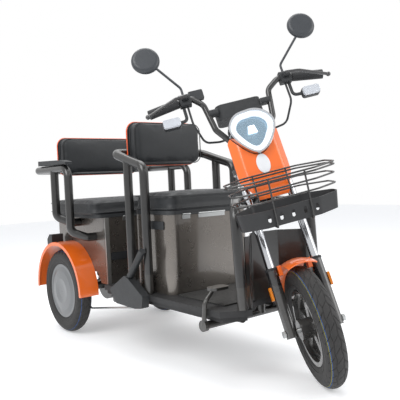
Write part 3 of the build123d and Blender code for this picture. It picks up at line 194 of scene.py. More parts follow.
class Shade:
    """One material under construction."""

    def __init__(self, name: str) -> None:
        """Starts an empty material with a Principled surface."""
        self.material = bpy.data.materials.new(name)
        self.material.use_nodes = True
        self.tree = self.material.node_tree
        self.tree.nodes.clear()
        self.output = self.tree.nodes.new("ShaderNodeOutputMaterial")
        self.surface = self.tree.nodes.new("ShaderNodeBsdfPrincipled")
        self.tree.links.new(self.surface.outputs[0], self.output.inputs[0])
        self.coords = self.tree.nodes.new("ShaderNodeTexCoord")

    def node(self, kind: str, settings: dict, values: dict, out: object = 0) -> Field:
        """Adds a node, sets its settings, then its sockets.

        Args:
            kind: the node's type name.
            settings: attributes set first; "stops" fills a colour ramp.
            values: socket name or index to a number, colour or Field.
            out: which output to return.

        Returns:
            The output as a Field.
        """
        made = self.tree.nodes.new(kind)
        for key, value in settings.items():
            if key == "stops":
                ramp = made.color_ramp
                while len(ramp.elements) < len(value):
                    ramp.elements.new(0.5)
                for element, (position, colour) in zip(ramp.elements, value):
                    element.position = position
                    element.color = (*colour, 1.0)
            else:
                setattr(made, key, value)
        for key, value in values.items():
            if isinstance(value, Field):
                self.tree.links.new(value.socket, made.inputs[key])
            else:
                made.inputs[key].default_value = value
        return Field(self, made.outputs[out])

    def set(self, **sockets: object) -> None:
        """Sets the surface's sockets; an underscore in a name stands for a space."""
        for key, value in sockets.items():
            name = key.replace("_", " ")
            if isinstance(value, Field):
                self.tree.links.new(value.socket, self.surface.inputs[name])
            else:
                self.surface.inputs[name].default_value = value

    def place(self) -> Field:
        """Object coordinates."""
        return Field(self, self.coords.outputs["Object"])

    def axis(self, name: str) -> Field:
        """One component of the Object coordinates, x, y or z."""
        return self.node("ShaderNodeSeparateXYZ", {}, {0: self.place()}, "XYZ".index(name.upper()))

    def uv(self, name: str) -> Field:
        """One component of the piece's own UV map, u or v."""
        source = Field(self, self.coords.outputs["UV"])
        return self.node("ShaderNodeSeparateXYZ", {}, {0: source}, "uv".index(name))

    def noise(self, scale: float, detail: float = 2.0, rough: float = 0.5, where: Field = None) -> Field:
        """Perlin noise of a scale per metre."""
        values = {"Vector": where or self.place(), "Scale": scale, "Detail": detail, "Roughness": rough}
        return self.node("ShaderNodeTexNoise", {}, values)

    def cells(self, scale: float, feature: str = "F1") -> Field:
        """Voronoi distance of a scale per metre."""
        return self.node("ShaderNodeTexVoronoi", {"feature": feature}, {"Vector": self.place(), "Scale": scale})

    def spread(self, value: Field, low: float, high: float) -> Field:
        """A 0 to 1 value mapped to the range low to high."""
        return value * (high - low) + low

    def ramp(self, value: Field, stops: Sequence) -> Field:
        """A colour ramp on a value."""
        return self.node("ShaderNodeValToRGB", {"stops": stops}, {0: value})

    def mix(self, factor: object, a: object, b: object) -> Field:
        """Two colours mixed by a factor."""
        colours = {"Factor": factor, 6: rgba(a), 7: rgba(b)}
        return self.node("ShaderNodeMix", {"data_type": "RGBA"}, colours, 2)

    def bump(self, height: Field, strength: float, distance: float) -> Field:
        """A normal from a height field; distance in metres."""
        values = {"Strength": strength, "Distance": distance, "Height": height}
        return self.node("ShaderNodeBump", {}, values)


def rgba(colour: object) -> object:
    """A colour given as three numbers becomes four; a Field stays."""
    return colour if isinstance(colour, Field) or len(colour) == 4 else (*colour, 1.0)


def tint(code: str) -> tuple[float, float, float]:
    """A colour written as six hexadecimal digits, as linear light."""
    parts = [int(code[i:i + 2], 16) / 255 for i in (0, 2, 4)]
    return tuple(c / 12.92 if c <= 0.04045 else ((c + 0.055) / 1.055) ** 2.4 for c in parts)


# Finishes


@dataclass(frozen=True)
class Paint:
    """Gloss paint under a clear coat, with faint orange peel, flecks and dust."""

    name: str
    colour: str
    metallic: float = 0.0
    rough: float = 0.32
    coat: float = 0.7
    peel: float = 0.05
    fleck: float = 0.0
    dust: float = 0.05

    def make(self) -> bpy.types.Material:
        """Builds the material."""
        s = Shade(self.name)
        base = tint(self.colour)
        cloud = s.noise(5.0, 4.0, 0.6)
        shaded = s.mix(s.spread(cloud, 0.0, 0.35), base, tuple(c * 0.72 for c in base))
        if self.fleck:
            flake = s.noise(2600.0, 0.0) > 0.66
            shaded = s.mix(flake * self.fleck, shaded, tuple(min(1.0, c * 1.9 + 0.04) for c in base))
        low = s.axis("z") < 0.34
        dusty = (low * s.noise(38.0, 5.0, 0.7) * self.dust * 3 + s.noise(60.0, 4.0, 0.7) * self.dust).clamped()
        shaded = s.mix(dusty, shaded, tint("8f8a82"))
        s.set(Base_Color=shaded, Metallic=self.metallic, Coat_Weight=self.coat, Coat_Roughness=0.06)
        s.set(Roughness=s.spread(s.noise(22.0, 4.0, 0.6), self.rough - 0.06, self.rough + 0.1))
        s.set(Normal=s.bump(s.noise(420.0, 2.0), self.peel, 0.0006))
        return s.material


@dataclass(frozen=True)
class Moulding:
    """Moulded plastic with a fine spark-eroded grain and scuffed roughness."""

    name: str
    colour: str
    rough: float = 0.5
    grain: float = 1500.0
    depth: float = 0.18

    def make(self) -> bpy.types.Material:
        """Builds the material."""
        s = Shade(self.name)
        base = tint(self.colour)
        s.set(Base_Color=s.mix(s.noise(16.0, 5.0, 0.7), base, tuple(c * 1.5 + 0.006 for c in base)))
        s.set(Roughness=s.spread(s.noise(45.0, 5.0, 0.7), self.rough - 0.1, self.rough + 0.14))
        s.set(Normal=s.bump(s.cells(self.grain), self.depth, 0.0004))
        return s.material


@dataclass(frozen=True)
class Leatherette:
    """Coated fabric: pebbled grain with pores, soft sheen, broad creases."""

    name: str
    colour: str

    def make(self) -> bpy.types.Material:
        """Builds the material."""
        s = Shade(self.name)
        base = tint(self.colour)
        pebble = s.cells(620.0, "SMOOTH_F1")
        crease = s.noise(26.0, 6.0, 0.65)
        s.set(Base_Color=s.mix(crease, base, tuple(c * 1.7 + 0.004 for c in base)))
        s.set(Roughness=s.spread(s.noise(70.0, 5.0, 0.6), 0.38, 0.6))
        s.set(Sheen_Weight=0.12, Specular_IOR_Level=0.42)
        s.set(Normal=s.bump(pebble * 0.7 + crease * 0.9, 0.35, 0.0012))
        return s.material


@dataclass(frozen=True)
class Metal:
    """Bright or brushed metal with fine drawn lines and stains."""

    name: str
    colour: str
    rough: float = 0.2
    lines: float = 0.12

    def make(self) -> bpy.types.Material:
        """Builds the material."""
        s = Shade(self.name)
        base = tint(self.colour)
        stain = s.noise(30.0, 6.0, 0.7)
        s.set(Base_Color=s.mix(s.spread(stain, 0.0, 0.5), base, tuple(c * 0.7 for c in base)), Metallic=1.0)
        s.set(Roughness=s.spread(s.noise(140.0, 5.0, 0.7), self.rough, self.rough + 0.16))
        s.set(Normal=s.bump(s.noise(900.0, 3.0), self.lines, 0.0003))
        return s.material


@dataclass(frozen=True)
class TreadRubber:
    """Tyre rubber: dusty in patches, with two thin coloured lines round one shoulder."""

    name: str
    lines: tuple = ()

    def make(self) -> bpy.types.Material:
        """Builds the material; UV v runs across the tyre from 0 on the right to 1 on the left."""
        s = Shade(self.name)
        across = s.uv("v")
        colour = s.mix(s.noise(24.0, 6.0, 0.7), tint("151617"), tint("2f2d2c"))
        for middle, width, paint in self.lines:
            mask = (across - middle).size() < width
            colour = s.mix(mask * 0.9, colour, tint(paint))
        s.set(Base_Color=colour)
        s.set(Roughness=s.spread(s.noise(80.0, 5.0, 0.7), 0.5, 0.78))
        s.set(Normal=s.bump(s.noise(1100.0, 3.0, 0.7), 0.22, 0.0006))
        return s.material


@dataclass(frozen=True)
class Ribbed:
    """A rubber mat with parallel ribs and dust between them."""

    name: str
    colour: str
    pitch: float = 0.009

    def make(self) -> bpy.types.Material:
        """Builds the material; the ribs run across the vehicle."""
        s = Shade(self.name)
        rib = (s.axis("x") / self.pitch).fraction()
        raised = ((rib - 0.5).size() < 0.28)
        base = tint(self.colour)
        dirt = (1.0 - raised) * s.noise(40.0, 5.0, 0.7)
        s.set(Base_Color=s.mix(dirt, base, tint("4c4a46")), Roughness=s.spread(s.noise(60.0, 5.0), 0.5, 0.75))
        s.set(Normal=s.bump(raised, 0.7, 0.0012))
        return s.material


@dataclass(frozen=True)
class Glow:
    """A lit diffuser: white plastic that gives off light evenly."""

    name: str
    colour: str
    strength: float = 1.0

    def make(self) -> bpy.types.Material:
        """Builds the material."""
        s = Shade(self.name)
        colour = s.mix(s.noise(60.0, 3.0), tint(self.colour), tuple(c * 0.93 for c in tint(self.colour)))
        s.set(Base_Color=colour, Roughness=s.spread(s.noise(90.0, 3.0), 0.18, 0.3))
        s.set(Emission_Color=colour, Emission_Strength=self.strength)
        return s.material


@dataclass(frozen=True)
class Clear:
    """Clear or tinted plastic or glass."""

    name: str
    colour: str
    rough: float = 0.04
    transmission: float = 1.0
    flutes: float = 0.0

    def make(self) -> bpy.types.Material:
        """Builds the material; flutes is the pitch of moulded prisms in metres, 0 for none."""
        s = Shade(self.name)
        colour = s.mix(s.noise(30.0, 4.0), tint(self.colour), tuple(c * 0.9 for c in tint(self.colour)))
        s.set(Base_Color=colour, Transmission_Weight=self.transmission, IOR=1.45)
        s.set(Roughness=s.spread(s.noise(100.0, 4.0), self.rough, self.rough + 0.05))
        height = s.noise(120.0, 2.0)
        if self.flutes:
            prism = (s.axis("z") / self.flutes).fraction() + (s.axis("y") / self.flutes).fraction()
            height = (prism - 1.0).size()
        s.set(Normal=s.bump(height, 0.4 if self.flutes else 0.03, 0.001))
        return s.material


@dataclass(frozen=True)
class Woven:
    """Woven nylon cloth: a plain weave of crossing yarns."""

    name: str
    colour: str
    pitch: float = 0.0012

    def make(self) -> bpy.types.Material:
        """Builds the material from two crossed sine waves in Object coordinates."""
        s = Shade(self.name)
        warp = (s.axis("y") * (math.tau / self.pitch)).sine()
        weft = ((s.axis("z") + s.axis("x")) * (math.tau / self.pitch)).sine()
        weave = warp * weft
        base = tint(self.colour)
        s.set(Base_Color=s.mix(s.spread(weave, 0.4, 0.7), base, tuple(c * 1.8 + 0.01 for c in base)))
        s.set(Roughness=s.spread(s.noise(50.0, 4.0), 0.6, 0.85), Sheen_Weight=0.2)
        s.set(Normal=s.bump(weave, 0.35, 0.0005))
        return s.material


FINISHES = {
    finish.name: finish
    for finish in (
        Paint("frame_black", "08090a", rough=0.3, coat=0.5),
        Paint("bronze", "6b655f", metallic=0.75, rough=0.27, coat=0.8, fleck=0.35),
        Paint("orange", "f66c08", rough=0.3, coat=0.6),
        Paint("post_grey", "8e8c88", metallic=0.6, rough=0.3, fleck=0.2),
        Paint("fork_black", "16171a", rough=0.26, coat=0.9),
        Paint("wire_black", "050506", rough=0.24, coat=0.5),
        Paint("cover_grey", "6b6e71", metallic=0.35, rough=0.38, coat=0.3, fleck=0.15),
        Moulding("plastic_black", "1d1f21"),
        Moulding("tray_black", "101113", rough=0.46),
        Moulding("mirror_black", "2a2d31", rough=0.38, depth=0.1),
        Moulding("grip_black", "17181a", rough=0.62, grain=700.0, depth=0.3),
        Moulding("underbody", "1a1a1b", rough=0.6),
        Leatherette("leather", "0f1215"),
        Leatherette("leather_band", "16181a"),
        Metal("chrome", "c9cbcf", rough=0.06, lines=0.03),
        Metal("zinc", "b2b4b4", rough=0.24),
        Metal("mirror_coat", "e8edf0", rough=0.02, lines=0.0),
        Metal("reflector_coat", "a9c2d2", rough=0.16),
        TreadRubber("front_rubber", ((0.292, 0.0045, "1f5fae"), (0.268, 0.0028, "b9b335"))),
        TreadRubber("rear_rubber", ((0.31, 0.0045, "1f5fae"), (0.69, 0.0045, "1f5fae"))),
        Ribbed("mat_rubber", "1b1c1d"),
        Glow("ring_white", "f5f8fb", 0.75),
        Glow("led_white", "ffffff", 2.2),
        Clear("lens_clear", "f4f8fb"),
        Clear("signal_white", "e4e8ee", rough=0.12, transmission=0.35, flutes=0.006),
        Clear("reflector_amber", "f08a10", rough=0.1, transmission=0.2, flutes=0.005),
        Paint("badge_white", "e9eaec", rough=0.3, dust=0.0),
        Paint("trim_orange", "ef5a18", rough=0.4, coat=0.4, dust=0.0),
        Woven("bag_cloth", "17191b"),
    )
}
MADE: dict[str, bpy.types.Material] = {}


def finish(name: str) -> bpy.types.Material:
    """The material of a named finish, made once."""
    if name not in MADE:
        MADE[name] = FINISHES[name].make()
    return MADE[name]


# Surfaces


def grid_object(
    name: str, points: np.ndarray, wrap_u: bool = False, wrap_v: bool = False, uv: bool = False
) -> bpy.types.Object:
    """A mesh over a grid of points; face (i, j) joins (i, j), (i+1, j), (i+1, j+1) and (i, j+1).

    Args:
        name: the object's name.
        points: an array of shape (rows, columns, 3) in the row frame.
        wrap_u: joins the last row to the first.
        wrap_v: joins the last column to the first.
        uv: stores u = row share and v = column share on the face corners.

    Returns:
        The object, smooth shaded, with its normals turned outwards.
    """
    rows, columns = points.shape[:2]
    i = np.arange(rows if wrap_u else rows - 1)
    j = np.arange(columns if wrap_v else columns - 1)
    i, j = (a.ravel() for a in np.meshgrid(i, j, indexing="ij"))
    i2, j2 = (i + 1) % rows, (j + 1) % columns
    faces = np.stack([i * columns + j, i2 * columns + j, i2 * columns + j2, i * columns + j2], axis=1)
    mesh = bpy.data.meshes.new(name)
    mesh.from_pydata(points.reshape(-1, 3).tolist(), [], faces.tolist())
    if uv:
        layer = mesh.uv_layers.new(name="surface")
        u = np.stack([i, i + 1, i + 1, i], axis=1) / max(1, rows if wrap_u else rows - 1)
        v = np.stack([j, j, j + 1, j + 1], axis=1) / max(1, columns if wrap_v else columns - 1)
        layer.data.foreach_set("uv", np.stack([u, v], axis=2).ravel().astype(np.float32))
    mesh.shade_smooth()
    made = bpy.data.objects.new(name, mesh)
    bpy.context.scene.collection.objects.link(made)
    return made


def tidy(piece: bpy.types.Object, merge: float = 2e-5) -> bpy.types.Object:
    """Merges doubles and turns the normals outwards."""
    work = bmesh.new()
    work.from_mesh(piece.data)
    bmesh.ops.remove_doubles(work, verts=work.verts, dist=merge)
    bmesh.ops.dissolve_degenerate(work, edges=work.edges, dist=merge)
    bmesh.ops.recalc_face_normals(work, faces=work.faces)
    work.to_mesh(piece.data)
    work.free()
    piece.data.shade_smooth()
    return piece


def modify(piece: bpy.types.Object, kind: str, **settings: object) -> bpy.types.Object:
    """Adds a modifier and gives it the settings."""
    made = piece.modifiers.new(kind.lower(), kind)
    for key, value in settings.items():
        setattr(made, key, value)
    return piece


def creased(piece: bpy.types.Object, degrees: float = 35.0) -> bpy.types.Object:
    """Smooth shading that keeps edges sharper than an angle."""
    piece.data.set_sharp_from_angle(angle=math.radians(degrees))
    return piece


def dress(piece: bpy.types.Object, body: str, coat: str) -> bpy.types.Object:
    """Gives a piece its finish and its body, and reports it."""
    piece.data.materials.clear()
    piece.data.materials.append(finish(coat))
    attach(piece, body)
    LOG.info("%s rides on %s in %s", piece.name, body, coat)
    return piece


def merged(name: str, pieces: Sequence[bpy.types.Object]) -> bpy.types.Object:
    """Joins several undressed pieces into one mesh."""
    count, verts, faces = 0, [], []
    for piece in pieces:
        co = np.empty(len(piece.data.vertices) * 3)
        piece.data.vertices.foreach_get("co", co)
        verts.append(co.reshape(-1, 3))
        faces.extend([[v + count for v in p.vertices] for p in piece.data.polygons])
        count += len(piece.data.vertices)
        bpy.data.objects.remove(piece)
    mesh = bpy.data.meshes.new(name)
    mesh.from_pydata(np.concatenate(verts).tolist(), [], faces)
    mesh.shade_smooth()
    made = bpy.data.objects.new(name, mesh)
    bpy.context.scene.collection.objects.link(made)
    return made


def turned_solid(name: str, base: Place, profile: Sequence, steps: int = 64) -> bpy.types.Object:
    """A surface of revolution about base's z: (r cos t, r sin t, h) for each profile point (r, h)."""
    rows = np.asarray(profile, float)
    t = np.linspace(0, math.tau, steps, endpoint=False)
    r, h = rows[:, 0][None, :], rows[:, 1][None, :]
    local = np.stack([np.cos(t)[:, None] * r, np.sin(t)[:, None] * r, np.zeros((steps, 1)) + h], axis=-1)
    return creased(tidy(grid_object(name, base.at(local), wrap_u=True)))


def carried(name: str, path: np.ndarray, section: np.ndarray, up: np.ndarray, closed: bool = False) -> bpy.types.Object:
    """A section carried along a path: p + s0 side + s1 lift, where side = tangent x up.

    Args:
        name: the object's name.
        path: points of shape (n, 3) in the row frame.
        section: closed outline of shape (m, 2).
        up: a direction never along the path.
        closed: whether the path returns to its start.

    Returns:
        The object, its ends closed.
    """
    ahead, behind = np.roll(path, -1, 0), np.roll(path, 1, 0)
    if not closed:
        ahead[-1], behind[0] = path[-1], path[0]
    tangent = ahead - behind
    tangent /= np.linalg.norm(tangent, axis=1, keepdims=True)
    side = np.cross(tangent, up)
    side /= np.linalg.norm(side, axis=1, keepdims=True)
    lift = np.cross(side, tangent)
    rows = path[:, None] + section[None, :, 0:1] * side[:, None] + section[None, :, 1:2] * lift[:, None]
    if not closed:
        ends = [np.repeat(path[k][None, None], section.shape[0], axis=1) for k in (0, -1)]
        rows = np.concatenate([ends[0], rows, ends[1]])
    return creased(tidy(grid_object(name, rows, wrap_u=closed, wrap_v=True)), 50)


def ring_section(radius: float, sides: int = 12) -> np.ndarray:
    """A circle's outline."""
    t = np.linspace(0, math.tau, sides, endpoint=False)
    return np.stack([np.cos(t), np.sin(t)], axis=1) * radius


def rounded(width: float, height: float, corner: float, steps: int = 8) -> np.ndarray:
    """A rounded rectangle's outline: four quarter circles about the inset corners."""
    t = np.linspace(0, math.pi / 2, steps)
    quarter = np.stack([np.cos(t), np.sin(t)], axis=1) * corner
    a, b = width / 2 - corner, height / 2 - corner
    turns = [np.array([[math.cos(k), -math.sin(k)], [math.sin(k), math.cos(k)]]) for k in np.arange(4) * math.pi / 2]
    middles = ((a, b), (-a, b), (-a, -b), (a, -b))
    return np.concatenate([quarter @ m.T + np.array(c) for m, c in zip(turns, middles)])


def puck(name: str, base: Place, outline: np.ndarray, profile: Sequence) -> bpy.types.Object:
    """A closed solid of shrunk outlines: each profile pair (inset, height) gives one ring.

    The outline point o becomes o (1 - inset / |o|), so a ring is drawn in evenly towards the middle; the first
    and last rings shrink to the middle and close the solid.
    """
    far = np.linalg.norm(outline, axis=1, keepdims=True)
    rings = []
    first, last = profile[0], profile[-1]
    for share in (0.0, 0.5):
        rings.append((outline * share * (1 - first[0] / far), first[1]))
    for inset, height in profile:
        rings.append((outline * (1 - inset / far), height))
    for share in (0.5, 0.0):
        rings.append((outline * share * (1 - last[0] / far), last[1]))
    local = np.stack([np.concatenate([xy, np.full((len(xy), 1), h)], axis=1) for xy, h in rings])
    return creased(tidy(grid_object(name, base.at(local), wrap_v=True)), 40)


def edge_profile(thick: float, round_r: float, steps: int = 5) -> list[tuple[float, float]]:
    """Inset and height pairs of a plate whose two rims are quarter circles."""
    t = np.linspace(0, math.pi / 2, steps)
    low = [(round_r * (1 - math.sin(a)), round_r * (1 - math.cos(a))) for a in t]
    return low + [(inset, thick - height) for inset, height in low[::-1]]


# Soft goods


@dataclass
class Pad:
    """A stuffed pad: a closed rounded block that a cloth simulation swells, with piping round its edge."""

    name: str
    node: str
    body: str
    face: Place
    width: float
    height: float
    corner: float
    thick: float
    crown: float = 0.006
    cap: float = 0.006
    edge: float = 0.016
    piping: float = 0.0022
    fill: float = 0.85

    def shell(self) -> bpy.types.Object:
        """The pad before it is filled.

        Rings run from the back's middle out round the edge to the front's middle; the front's height is
        thick - crown (1 - c), with c = (1 - x^2)(1 - y^2) over the half sizes.
        """
        outline = rounded(self.width, self.height, self.corner, 12)
        far = np.linalg.norm(outline, axis=1, keepdims=True)
        t = np.linspace(0, math.pi / 2, 7)
        rings = [(self.edge * 0.4, 0.0, s) for s in (0.0, 0.3, 0.6, 0.85)]
        rings += [(self.edge * 0.4 * (1 - math.sin(a)), self.edge * 0.4 * (1 - math.cos(a)), 1.0) for a in t]
        rings += [(self.edge * (1 - math.cos(a)), self.thick - self.edge * (1 - math.sin(a)), 1.0) for a in t]
        rings += [(self.edge, self.thick, s) for s in (0.9, 0.75, 0.55, 0.35, 0.15, 0.0)]
        local = []
        for inset, height, share in rings:
            xy = outline * (1 - inset / far) * share
            z = np.full((len(xy), 1), height)
            if height > self.thick * 0.7:
                bulge = (1 - (xy[:, :1] * 2 / self.width) ** 2) * (1 - (xy[:, 1:] * 2 / self.height) ** 2)
                z = z - self.crown * (1 - bulge)
            local.append(np.concatenate([xy, z], axis=1))
        return tidy(grid_object(self.name, self.face.at(np.stack(local)), wrap_v=True))

    def swell(self, piece: bpy.types.Object) -> None:
        """Remeshes the shell, blows it up as cloth, and holds each point within cap of where it was."""
        modify(piece, "REMESH", mode="VOXEL", voxel_size=0.006)
        bpy.context.view_layer.update()
        graph = bpy.context.evaluated_depsgraph_get()
        even = bpy.data.meshes.new_from_object(piece.evaluated_get(graph))
        piece.modifiers.clear()
        piece.data = even
        start = np.empty(len(even.vertices) * 3)
        even.vertices.foreach_get("co", start)
        start = start.reshape(-1, 3)
        modify(piece, "CLOTH")
        cloth = piece.modifiers[0].settings
        cloth.quality = 4
        cloth.use_pressure = True
        cloth.uniform_pressure_force = 4.0
        cloth.effector_weights.gravity = 0.0
        scene = bpy.context.scene
        for step in range(1, 21):
            scene.frame_set(step)
        graph = bpy.context.evaluated_depsgraph_get()
        blown = piece.evaluated_get(graph).to_mesh()
        end = np.empty(len(blown.vertices) * 3)
        blown.vertices.foreach_get("co", end)
        end = end.reshape(-1, 3)
        piece.evaluated_get(graph).to_mesh_clear()
        scene.frame_set(1)
        piece.modifiers.clear()
        move = end - start
        far = np.linalg.norm(move, axis=1, keepdims=True)
        move *= np.minimum(1.0, self.cap / np.maximum(far, 1e-9))
        depth = (start - self.face.origin) @ self.face.z
        move *= np.clip(depth / (self.thick * 0.35), 0, 1)[:, None]
        even.vertices.foreach_set("co", (start + move).ravel())
        even.update()
        even.shade_smooth()

    def build(self, coat: str = "leather", slot: str = "black_leather") -> bpy.types.Object:
        """Builds, fills and dresses the pad and its piping."""
        pad = self.shell()
        self.swell(pad)
        dress(pad, self.body, coat)
        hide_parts(self.node)
        rim = rounded(self.width - self.edge * 0.5, self.height - self.edge * 0.5, self.corner, 12)
        wide = rim * (1 + self.edge * 0.18 / self.width * 2)
        for label, height in (("front", self.thick - self.edge * 0.55), ("back", self.edge * 0.5)):
            path = self.face.at(np.concatenate([wide, np.full((len(rim), 1), height)], axis=1))
            welt = carried(f"{self.name}_{label}_welt", path, ring_section(self.piping, 10), self.face.z, closed=True)
            dress(welt, self.body, "leather_band")
        return pad


# Wheels


@dataclass
class Tyre:
    """A road tyre: a round carcass with grooves cut by a smooth depth function."""

    name: str
    node: str
    body: str
    hub: Place
    radius: float
    half: float
    rubber: str
    seat: float = 0.1183
    lip: float = 0.130
    bead: float = 0.0227
    rows: int = 720

    def profile(self) -> tuple[np.ndarray, np.ndarray, np.ndarray]:
        """Radius, side and tread share of the section, from the right bead over the crown to the left bead."""
        shoulder = self.radius - self.half * 0.75
        rise = self.radius - shoulder
        middle = (self.radius + shoulder - self.half ** 2 / rise) / 2
        arc_r = self.radius - middle
        top = math.asin(min(1.0, self.half / arc_r))
        a = np.linspace(-top, top, 61)
        flank = np.linspace(0, 1, 12)[1:-1]
        foot = [(self.seat, -self.bead), (self.lip, -self.bead), (self.lip + 0.006, -self.half * 0.88)]
        wall_r = self.lip + 0.006 + (shoulder - self.lip - 0.006) * flank
        wall_y = -self.half * (0.88 + 0.12 * np.sin(flank * math.pi / 2))
        right = np.concatenate([np.array(foot), np.stack([wall_r, wall_y], axis=1)])
        crown = np.stack([middle + arc_r * np.cos(a), arc_r * np.sin(a)], axis=1)
        left = right[::-1] * np.array([1, -1])
        all_rows = np.concatenate([right, crown, left])
        share = np.concatenate([np.zeros(len(right)), np.ones(len(a)), np.zeros(len(left))])
        return all_rows[:, 0], all_rows[:, 1], share

    def grooves(self, angle: np.ndarray, side: np.ndarray) -> np.ndarray:
        """Groove depth at each angle and side, in metres.

        Two waving grooves run round at side = +-0.35 half + a wave of 24 per turn; slanted cuts, bent into a V by
        |side|, leave the shoulder 36 times a turn; each is a smooth step of the distance to its middle line.
        """
        s = side / self.half
        wave = 0.05 * np.sin(24 * angle)
        around = np.minimum(np.abs(np.abs(s + wave) - 0.33) / 0.045, 1)
        slant = ((36 * angle / math.tau + np.abs(s) * 1.5 + 0.5 * (s > 0)) % 1.0) - 0.5
        cuts = np.clip(np.abs(slant) / 0.075, 0, 1)
        cuts = np.where((np.abs(s) > 0.42) & (np.abs(s) < 0.93), cuts, 1)
        sipe = ((36 * angle / math.tau - s * 1.1) % 1.0) - 0.5
        sipes = np.where(np.abs(s) < 0.24, np.clip(np.abs(sipe) / 0.06, 0, 1), 1)
        open_share = np.minimum(np.minimum(around, cuts), sipes)
        return 0.0042 * (1 - open_share ** 2 * (3 - 2 * open_share))

    def build(self) -> bpy.types.Object:
        """Builds the tyre about hub's y and dresses it."""
        r, side, share = self.profile()
        angle = np.linspace(0, math.tau, self.rows, endpoint=False)[:, None]
        depth = self.grooves(angle, side[None, :]) * share[None, :]
        rad = r[None, :] - depth
        local = np.stack([rad * np.cos(angle), np.broadcast_to(side, rad.shape), rad * np.sin(angle)], axis=-1)
        tyre = grid_object(self.name, self.hub.at(local), wrap_u=True, wrap_v=True, uv=True)
        work = bmesh.new()
        work.from_mesh(tyre.data)
        bmesh.ops.recalc_face_normals(work, faces=work.faces)
        work.to_mesh(tyre.data)
        work.free()
        tyre.data.shade_smooth()
        dress(tyre, self.body, self.rubber)
        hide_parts(self.node)
        return tyre

    def mouldings(self) -> bpy.types.Object:
        """Raised rings on both sidewalls, each a thin torus section turned about the axle."""
        base = self.hub.turned("zxy")
        rings = []
        for sign in (-1, 1):
            for radius, out in ((self.radius - self.half * 0.95, 0.985), (self.lip + 0.018, 0.935)):
                h = sign * self.half * out
                t = np.linspace(0, math.tau, 9)
                section = [(radius + 0.0016 * math.cos(a), h + 0.0013 * math.sin(a)) for a in t]
                rings.append(turned_solid("ring", base, section, 128))
        return dress(merged(self.name + "_rings", rings), self.body, self.rubber)


# CAD pieces that are shown as they are


@dataclass
class NodeFinishes:
    """Gives every visible CAD node its finish."""

    coats: dict = field(default_factory=lambda: {
        "frame_black": ("frame", "front_seat_frame", "rear_seat_frame", "leaf_springs", "rear_axle", "foot_brake",
                        "handlebar", "lamp_bracket", "basket_bracket", "leg_shield"),
        "bronze": ("front_box", "rear_box"),
        "post_grey": ("rear_box_posts",),
        "orange": ("head_panel", "front_fender", "rear_fenders"),
        "cover_grey": ("rear_wheel_left", "rear_wheel_right"),
        "chrome": ("fork_stanchions", "headlight_case"),
        "fork_black": ("fork_sliders", "fork_yokes", "brake_levers", "front_rim"),
        "wire_black": ("basket_wires",),
        "tray_black": ("basket_tray",),
        "plastic_black": ("control_housings", "front_backrest_board", "rear_backrest_board", "front_seat_pan",
                          "rear_seat_pan", "rear_armrest_pads", "lock_strips", "display_unit", "turn_signals",
                          "control_cables", "parking_brake", "battery_pack", "tail_lamps"),
        "underbody": ("floor_board",),
        "mat_rubber": ("floor_mat",),
        "reflector_coat": ("headlight_reflector",),
        "ring_white": ("headlight_ring",),
        "lens_clear": ("headlight_lens",),
        "signal_white": ("turn_signal_lenses",),
        "reflector_amber": ("fork_reflectors",),
        "mirror_black": ("mirror_shells",),
        "mirror_coat": ("mirror_glass",),
        "zinc": ("front_axle", "brake_rod", "seat_hinges"),
        "grip_black": ("grips",),
        "bag_cloth": ("handlebar_bag",),
        "leather": ("front_cushion", "rear_cushion", "front_backrest", "rear_backrest"),
        "front_rubber": ("front_tyre",),
        "rear_rubber": ("rear_tyre_left", "rear_tyre_right"),
    })

    def build(self) -> None:
        """Puts each finish on its nodes; rounded edges stay shaded as the CAD facets them."""
        for coat, names in self.coats.items():
            for name in names:
                node = frame["nodes"][name]
                node.data.materials.clear()
                node.data.materials.append(finish(coat))
                LOG.info("%s wears %s", name, coat)
        bare = sorted(set(frame["nodes"]) - {n for names in self.coats.values() for n in names})
        LOG.info("nodes without a finish: %s", bare)


# The studio


